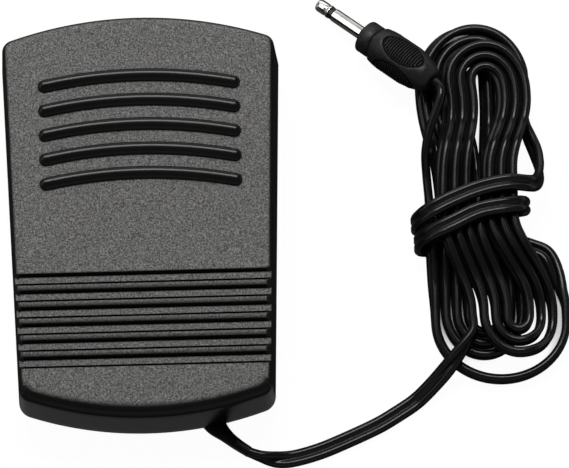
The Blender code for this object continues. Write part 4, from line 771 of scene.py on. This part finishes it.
def face_rows():
    """Where the face's rows meet the sides: even steps, and at every edge of the grooves."""
    first = groove_middle(0) - EVEN_ROWS_MARGIN
    last = groove_middle(GROOVE_COUNT - 1) + EVEN_ROWS_MARGIN
    rows = [*np.arange(-HALF, first, ROW_STEP), *np.arange(last, HALF, ROW_STEP)]
    for index in range(GROOVE_COUNT):
        past_mouth = [GROOVE_MOUTH / 2 + step for step in (0.0002, 0.0001, 0.0)]
        past_floor = [GROOVE_FLOOR / 2 + step for step in (0.00005, -0.00005, -0.00010)]
        for off in past_mouth + past_floor + [GROOVE_FLOOR / 4]:
            rows += [groove_middle(index) - off, groove_middle(index) + off]
        rows.append(groove_middle(index))
    rows = np.array(sorted(rows))
    side = np.array([(TOE_WIDTH - HEEL_WIDTH) / 2, LENGTH])
    lean = math.tan(WALL_LEAN) * (top_z(rows) - skirt_z(rows)) + EDGE_ROUND
    return rows - lean * side[0] / np.linalg.norm(side)


def inward_normals(ring):
    step = np.roll(ring, -1, axis=0) - np.roll(ring, 1, axis=0)
    step = step / np.linalg.norm(step, axis=1)[:, None]
    return np.stack([-step[:, 1], step[:, 0]], axis=1)


def groove_middle(index):
    return -HALF + LAST_GROOVE_FROM_HEEL + GROOVE_PITCH * index


def groove_drop(y):
    """How far the grooves lie below the face at y, and 1 on the flanks and a thin strip past them, where the
    face gets painted shade.
    """
    y = np.asarray(y)
    drop, slope = np.zeros_like(y), np.zeros_like(y)
    for index in range(GROOVE_COUNT):
        from_middle = y - groove_middle(index)
        off = np.abs(from_middle)
        fall = np.clip((GROOVE_MOUTH / 2 - off) / ((GROOVE_MOUTH - GROOVE_FLOOR) / 2), 0, 1)
        drop = np.maximum(drop, fall * GROOVE_DEPTH)
        past_mouth = np.where(from_middle > 0, *SHADE_PAST_MOUTH)
        past_floor = np.where(from_middle > 0, *SHADE_PAST_FLOOR)
        edge = (off < GROOVE_MOUTH / 2 + past_mouth) & (off > GROOVE_FLOOR / 2 + past_floor)
        slope = np.maximum(slope, edge.astype(float))
    return drop, slope


def rib_shell(index):
    """One raised rib: a low dome with round ends that stands on the face."""
    centre_y = HALF - FIRST_RIB_FROM_TOE - RIB_PITCH * index - RIB_ARC_RADIUS
    end_angle = RIB_WIDTH / 2 / RIB_ARC_RADIUS
    reach = RIB_SPAN / 2 / RIB_ARC_RADIUS - end_angle
    stations = [(a, 1.0) for a in np.linspace(-reach, reach, RIB_STATIONS)]
    for k in range(1, RIB_END_STEPS + 1):
        turn = math.radians(88) * k / RIB_END_STEPS
        stations.insert(0, (-reach - end_angle * math.sin(turn), math.cos(turn)))
        stations.append((reach + end_angle * math.sin(turn), math.cos(turn)))
    vertices = []
    for along, size in stations:
        for j in range(-1, RIB_SIDES + 2):
            turn = math.pi * min(max(j, 0), RIB_SIDES) / RIB_SIDES
            radius = RIB_ARC_RADIUS + size * RIB_WIDTH / 2 * math.cos(turn)
            y = centre_y + radius * math.cos(along)
            rise = RIB_SHOULDER + size * RIB_HEIGHT * math.sin(turn) if 0 <= j <= RIB_SIDES else -RIB_SUNK
            vertices.append((radius * math.sin(along), y, top_z(y) + rise))
    return vertices, capped_faces(len(stations), RIB_SIDES + 3)


def wall_ring(base, inward, inset, height, run=0.0):
    """The outline at a height, set in by inset and run, on walls that lean in, and lean more at the heel."""
    soft = 1 + np.where(base[:, 1] < 0, HEEL_SOFTNESS * np.maximum(0, inward[:, 1]) ** 2, 0)
    start = base + inward * inset
    lean = math.tan(WALL_LEAN) * (height(start[:, 1]) - skirt_z(start[:, 1])) + run
    moved = start + inward * (lean * soft)[:, None]
    return np.column_stack([moved, height(moved[:, 1])])


def edge_grain(base, inward, step, drop, fall, slope):
    """How grained a ring of the rounded edge is: more with each step up, first at the toe."""
    on_side, on_toe = np.abs(inward[:, 0]) > SIDE_FACING, inward[:, 1] < TOE_FACING
    beside = smooth_range(base[:, 1], *HEEL_CORNER)
    started = np.where(on_toe, (step - 4) / 2, np.where(on_side, (step - 5) / 2 * beside, 0.0))
    started = np.where(slope > 0.5, 0.0, np.clip(started, 0.0, 1.0))
    return np.where((fall > drop) & (slope < 0.5), 1.0, started)


def cover_rings(base, inward):
    """The rings of the shell, from its ceiling down inside and up outside to the face, with their grain."""
    bare = np.zeros(len(base))
    rings = [wall_ring(base, inward, COVER_WALL, lambda y: top_z(y) - COVER_TOP),
             wall_ring(base, inward, COVER_WALL, skirt_z), wall_ring(base, inward, 0.0, skirt_z)]
    for share in np.linspace(0, 1, 9)[1:-1]:
        rings.append(wall_ring(base, inward, 0.0,
                               lambda y: skirt_z(y) + (top_z(y) - EDGE_ROUND - skirt_z(y)) * share))
    grain = [bare] * len(rings)
    for step in range(EDGE_STEPS + 1):
        turn = math.pi / 2 * step / EDGE_STEPS
        drop = EDGE_ROUND * (1 - math.sin(turn))
        ring = wall_ring(base, inward, 0.0, lambda y: top_z(y) - drop, EDGE_ROUND * (1 - math.cos(turn)))
        fall, slope = groove_drop(ring[:, 1])
        ring[:, 2] = top_z(ring[:, 1]) - np.maximum(drop, fall)
        rings.append(ring)
        grain.append(edge_grain(base, inward, step, drop, fall, slope))
    return rings, grain


def face_grid(edge, short, long):
    """The face as a grid inside its edge: x, y, z, grain, and 1 on the flanks of the grooves and a thin strip
    past them, which get painted shade.
    """
    heel, right = edge[:short + 1, :2], edge[short:short + long + 1, :2]
    toe = edge[short + long:2 * short + long + 1, :2][::-1]
    left = np.concatenate([edge[2 * short + long:], edge[:1]])[::-1, :2]
    v = np.linspace(0, 1, long + 1)[:, None]
    heel_share, toe_share = ((row[:, 0] - row[0, 0]) / (row[-1, 0] - row[0, 0]) for row in (heel, toe))
    x = left[:, :1] + (right[:, :1] - left[:, :1]) * ((1 - v) * heel_share + v * toe_share)
    side_y = right[:, 1:2]
    heel_weight = 1 - smooth_range(side_y, heel[0, 1], groove_middle(0) - GRID_MARGIN)
    toe_weight = smooth_range(side_y, groove_middle(GROOVE_COUNT - 1) + GRID_MARGIN, toe[0, 1])
    y = side_y + (heel[:, 1] - heel[0, 1]) * heel_weight + (toe[:, 1] - toe[0, 1]) * toe_weight
    fall, slope = groove_drop(y)
    from_side = np.minimum(x - left[:, :1], right[:, :1] - x)
    to_heel = np.clip(1 - (y - heel[:, 1]) / GRAIN_FROM_HEEL, 0, 1)
    to_side = np.clip(1 - from_side / GRAIN_FROM_SIDE, 0, 1) * (1 - smooth_range(y, *HEEL_CORNER))
    grain = smooth_range(1 - np.hypot(to_heel, to_side), 0.0, 1.0)
    grain = np.where(fall > 0.97 * GROOVE_DEPTH, 1.0, grain) * (1 - slope)
    return x, y, top_z(y) - fall, grain, slope


def cover_skin(material, side_plastic, groove_painted_shade):
    """The cover's shell with its face as a grid, the grooves in it and the ribs on it."""
    short = SHORT_STEPS
    base, long = outline_points(short, face_rows())
    inward = inward_normals(base)
    rings, grain = cover_rings(base, inward)
    x, y, z, level, slope = face_grid(rings[-1], short, long)
    count, inside = len(base), (slice(1, -1), slice(1, -1))
    inner = np.stack([x, y, z], axis=-1)[inside].reshape(-1, 3)
    top_start, inner_start = (len(rings) - 1) * count, len(rings) * count
    vertices = [tuple(p) for p in np.concatenate(rings + [inner])]
    values = list(np.concatenate(grain + [level[inside].ravel()]))
    index = np.zeros((long + 1, short + 1), int)
    index[inside] = inner_start + np.arange(len(inner)).reshape(long - 1, -1)
    index[0, :] = top_start + np.arange(short + 1)
    index[:, -1] = top_start + short + np.arange(long + 1)
    index[-1, ::-1] = top_start + short + long + np.arange(short + 1)
    index[::-1, 0] = top_start + (2 * short + long + np.arange(long + 1)) % count
    faces, slots = loft_faces(len(rings), count), []
    dull_side = np.abs(inward[:, 0]) > DULL_FACING
    for grained in grain[1:]:
        slots += (dull_side & (grained < 0.25)).astype(int).tolist()
    # faces wholly on the grooves' flanks and the strips past them take the third material: painted shade
    dark = slope > 0.5
    dark = dark[:-1, :-1] & dark[1:, :-1] & dark[:-1, 1:] & dark[1:, 1:]
    for row, above in zip(index.tolist(), index[1:].tolist()):
        faces += [(row[i], row[i + 1], above[i + 1], above[i]) for i in range(short)]
    slots += (2 * dark.astype(int)).ravel().tolist()
    faces.append(tuple(range(count - 1, -1, -1)))
    for number in range(RIB_COUNT):
        rib_vertices, rib_faces = rib_shell(number)
        faces += [tuple(len(vertices) + v for v in face) for face in rib_faces]
        vertices += rib_vertices
        values += [0.0] * len(rib_vertices)
    slots += [0] * (len(faces) - len(slots))
    skin = mesh_piece("treadle_cover_skin", vertices, faces)
    point_values(skin, "grain", values)
    dress(skin, material, "cover", "treadle", "treadle_cover")
    more_materials(skin, slots, side_plastic, groove_painted_shade)


def cover_fittings(material):
    """The lugs, hooks, spring seat and nose under the cover, as they are in the solid."""
    source = nodes["treadle_cover"].data
    points = np.array([v.co for v in source.vertices])
    inset = np.abs(points[:, 0]) < HEEL_WIDTH / 2 - COVER_WALL - 0.0005
    under = points[:, 2] < top_z(points[:, 1]) - COVER_TOP + 0.00002
    inner = inset & under & (points[:, 1] > -HALF + 0.0055) & (points[:, 1] < HALF - 0.0028)
    on_ceiling = np.abs(points[:, 2] - top_z(points[:, 1]) + COVER_TOP) < 0.00002
    kept = [tuple(p.vertices) for p in source.polygons
            if all(inner[v] for v in p.vertices) and not all(on_ceiling[v] for v in p.vertices)]
    used = sorted({v for face in kept for v in face})
    number = {v: k for k, v in enumerate(used)}
    faces = [tuple(number[v] for v in face) for face in kept]
    piece = mesh_piece("cover_inner_fittings", points[used], faces, smooth=False)
    dress(piece, material, "cover", "treadle", "treadle_cover")


# ==================== plug and grommet
def plug_frame():
    """The plug's directions: its axis to the jack's tip, across, and up."""
    axis = plug_axis()
    across = Vector((0, 0, 1)).cross(axis).normalized()
    return axis, across, axis.cross(across)


def turned(profile, around, swell=None):
    """A closed turned solid on the plug's axis, from (radius, distance behind the collar's face) in turn. The
    first of swell's values at (turn, distance) is added to the radius."""
    axis, across, up = plug_frame()
    vertices = []
    for radius, back in profile:
        for k in range(around):
            turn = 2 * math.pi * k / around
            r = radius + (swell(turn, back)[0] if swell else 0.0)
            out = across * (r * math.cos(turn)) + up * (r * math.sin(turn))
            vertices.append(Vector(COLLAR_AT) - axis * back + out)
    return vertices, capped_faces(len(profile), around)


def grip(turn, back):
    """What the four grip panels add to the plug's radius at a place, and how hollow the place is; hollow
    places get painted shade.
    """
    if not GRIP_FROM < back < PLUG_BODY - 0.0003:
        return 0.0, 0.0
    for quarter in range(4):
        centre = GRIP_FIRST_TURN + quarter * math.pi / 2
        off = (turn - centre + math.pi) % (2 * math.pi) - math.pi
        oval = math.hypot((back - GRIP_MIDDLE) / GRIP_HALF_LENGTH, off / GRIP_HALF_TURN)
        if oval < 1.2:
            inside = smooth_step((0.97 - oval) / 0.06)
            valley = (0.5 - 0.5 * math.cos(2 * math.pi * back / GRIP_PITCH)) * inside
            outline = max(0.0, 1 - abs(oval - 1.0) / GRIP_OUTLINE)
            return -GRIP_OUTLINE_DEPTH * outline - GRIP_DEPTH * valley, max(outline, valley)
    return 0.0, 0.0


def plug_shell(material, valley_shade_material):
    """The moulded body: collar, step groove, grip panels of fine ribs across the axis, and a tapered tail."""
    rounding = 0.0004
    profile = [(JACK_RADIUS + FIT_GAP, -0.0010), (JACK_RADIUS + FIT_GAP, 0.0),
               (COLLAR_RADIUS - rounding, 0.0), (COLLAR_RADIUS - 0.00012, 0.00012), (COLLAR_RADIUS, rounding),
               (COLLAR_RADIUS, 0.0020), (COLLAR_RADIUS, COLLAR_LENGTH - 0.0002),
               (COLLAR_RADIUS - 0.0002, COLLAR_LENGTH)]
    shape = [(0.0039, 0.0038), (0.0039, 0.0042), (0.0049, 0.0046), (0.0052, 0.0062), (0.0054, 0.0082),
             (0.0054, 0.0150), (0.0050, 0.0178), (0.0041, 0.0205), (0.0032, 0.0220), (TAIL_RADIUS, PLUG_BODY)]
    profile += shape[:3]
    body_back = np.array([s[1] for s in shape[2:]])
    body_radius = np.array([s[0] for s in shape[2:]])
    for back in np.arange(shape[2][1] + 0.00012, PLUG_BODY, 0.00012):
        profile.append((float(np.interp(back, body_back, body_radius)), float(back)))
    profile += [(TAIL_RADIUS, PLUG_BODY), (TAIL_RADIUS * 0.55, PLUG_BODY)]
    around = 168
    vertices, faces = turned(profile, around, grip)
    # faces in the grip's valleys and outline take a darker material without gloss: painted shade in the
    # hollows
    hollow = [grip(2 * math.pi * k / around, back)[1] for _, back in profile for k in range(around)]
    slots = [int(sum(hollow[v] for v in face) / len(face) > 0.6) for face in faces]
    shell = mesh_piece("plug_shell", vertices, faces)
    dress(shell, material, "plug", "base", "plug_body")
    more_materials(shell, slots, valley_shade_material)
    return shell


def jack_tip(material):
    """The jack's tip: a long rounded head, a narrow waist and a flange against the ring."""
    shape = ((0.00050, 0.00420), (0.00100, 0.00417), (0.00135, 0.00408), (0.00156, 0.00390),
             (0.00166, 0.00360), (0.00170, 0.00310), (0.00170, 0.00180), (0.00167, 0.00140),
             (0.00160, 0.00112), (0.00155, 0.00096), (0.00157, 0.00080), (0.00166, 0.00064),
             (0.00173, 0.00054), (0.00175, 0.00046), (0.00175, 0.00008), (0.00174, 0.00002),
             (0.00171, 0.0), (0.00160, 0.0), (TIP_ROD_RADIUS, 0.0), (TIP_ROD_RADIUS, -0.0040))
    start = JACK_LENGTH - TIP_LENGTH
    tip = mesh_piece("jack_tip", *turned([(radius, -start - along) for radius, along in shape], 64))
    return dress(tip, material, "nickel", "base", "plug_jack_tip")


def superellipse(half_width, half_height, turn, power=0.6):
    side, rise = math.cos(turn), math.sin(turn)
    return (half_width * math.copysign(abs(side) ** power, side),
            half_height * math.copysign(abs(rise) ** power, rise))


def grommet_sleeve(material):
    """The moulded strain relief, from its flange inside the heel wall to where the flex leaves it."""
    flange_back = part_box("cord_grommet")[1].y
    flange_front = flange_back - 0.0010
    table = [(CORD_X, y, GROMMET_Z, GROMMET_HALF_WIDTH + wider, GROMMET_HALF_HEIGHT + taller, -90)
             for y, wider, taller in ((flange_back, 0.0008, 0.0003), (flange_front, 0.0008, 0.0003),
                                      (flange_front - 0.0001, 0.0, 0.0), (GROMMET_BEND_Y, 0.0, 0.0))]
    table += [(CORD_X + a, y, z, w, h, d) for a, y, z, w, h, d in GROMMET_BEND]
    bend = np.array(table[3:], float)
    knots = lengths_along(bend[:, :3])
    wanted = np.linspace(0, knots[-1], 60)
    fine = smoothed(np.stack([np.interp(wanted, knots, bend[:, k]) for k in range(6)], axis=1), 4)
    sides = 40
    rings, centres = [], []
    for x, y, z, wide, tall, heading in table[:3] + fine.tolist():
        angle = math.radians(heading)
        ring = []
        for k in range(sides):
            side, rise = superellipse(wide, tall, 2 * math.pi * k / sides)
            ring.append((x - side * math.sin(angle), y + side * math.cos(angle), max(z + rise, 0.00002)))
        rings.append(ring)
        centres.append((x, y, z))
    sleeve = tube_mesh("grommet_sleeve", centres, rings)
    dress(sleeve, material, "plug", "base", "cord_grommet")


# ==================== build
camera()
flex, flex_line = flat_flex(flex_material())
nickel = bare_metal("nickel_plate", (0.82, 0.81, 0.78), 0.13, (1, 1, 1), 700.0, 0.0000004)
# the plug's second material is painted shade for the grip's valleys and outline
shell = plug_shell(speckled("plug_pvc", 0.0082, 0.46, 0.34), speckled("plug_valley_shade_pvc", 0.0060, 0.8, 0.0))
tip = jack_tip(nickel)
grommet_sleeve(speckled("grommet_pvc", 0.0030, 0.42, 0.12, 0.00001))
cover_plastic = cover_material()
cover_skin(cover_plastic, side_material(), groove_shade_material())
cover_fittings(cover_plastic)

tray = moulded("tray_plastic", 0.020, 0.42, 1500.0, 0.00004)
housing = moulded("switch_housing_plastic", 0.014, 0.26, 900.0, 0.00001)
steel = bare_metal("drawn_steel", (0.60, 0.60, 0.59), 0.30, (1, 1, 6))
spring_steel = bare_metal("spring_steel", (0.52, 0.52, 0.52), 0.28, (1, 1, 12))
brass = bare_metal("sheet_brass", (0.78, 0.60, 0.32), 0.24, (8, 1, 1))
plain = {
    "base_tray": tray, "cord_clamp": tray,
    "switch_case": housing, "switch_side_cover": moulded("switch_cover_plastic", 0.022, 0.34, 900.0, 0.00001),
    "switch_plunger": shader("plunger_plastic", (0.45, 0.07, 0.05), 0.28)[0],
    "hinge_pin": steel, "return_spring": spring_steel, "switch_lever": steel,
    "switch_screw_front": steel, "switch_screw_rear": steel,
    "cord_clamp_screw_left": steel, "cord_clamp_screw_right": steel,
    "switch_contact_blade": brass, "switch_terminal_common": brass, "switch_terminal_contact": brass,
    "lead_wire_common": bare_metal("copper_core", (0.72, 0.42, 0.28), 0.30, (1, 1, 1)),
    "solder_joint_common": bare_metal("solder", (0.65, 0.65, 0.67), 0.22, (1, 1, 1), 400.0, 0.00002),
    "plug_jack_sleeve": nickel,
    "plug_jack_insulator": moulded("insulator_plastic", 0.008, 0.25, 900.0, 0.00001),
    "cord_inner_end": flex_material(),
}
plain["lead_wire_contact"] = plain["lead_wire_common"]
plain["solder_joint_contact"] = plain["solder_joint_common"]
foot_rubber = moulded("foot_rubber", 0.022, 0.75, 2200.0, 0.00005)
for corner in ("toe_left", "toe_right", "heel_left", "heel_right"):
    plain["rubber_foot_" + corner] = foot_rubber
for name, material in plain.items():
    nodes[name].data.materials.clear()
    nodes[name].data.materials.append(material)

floor()
world()
lights()
bpy.context.scene.view_settings.view_transform = "Standard"
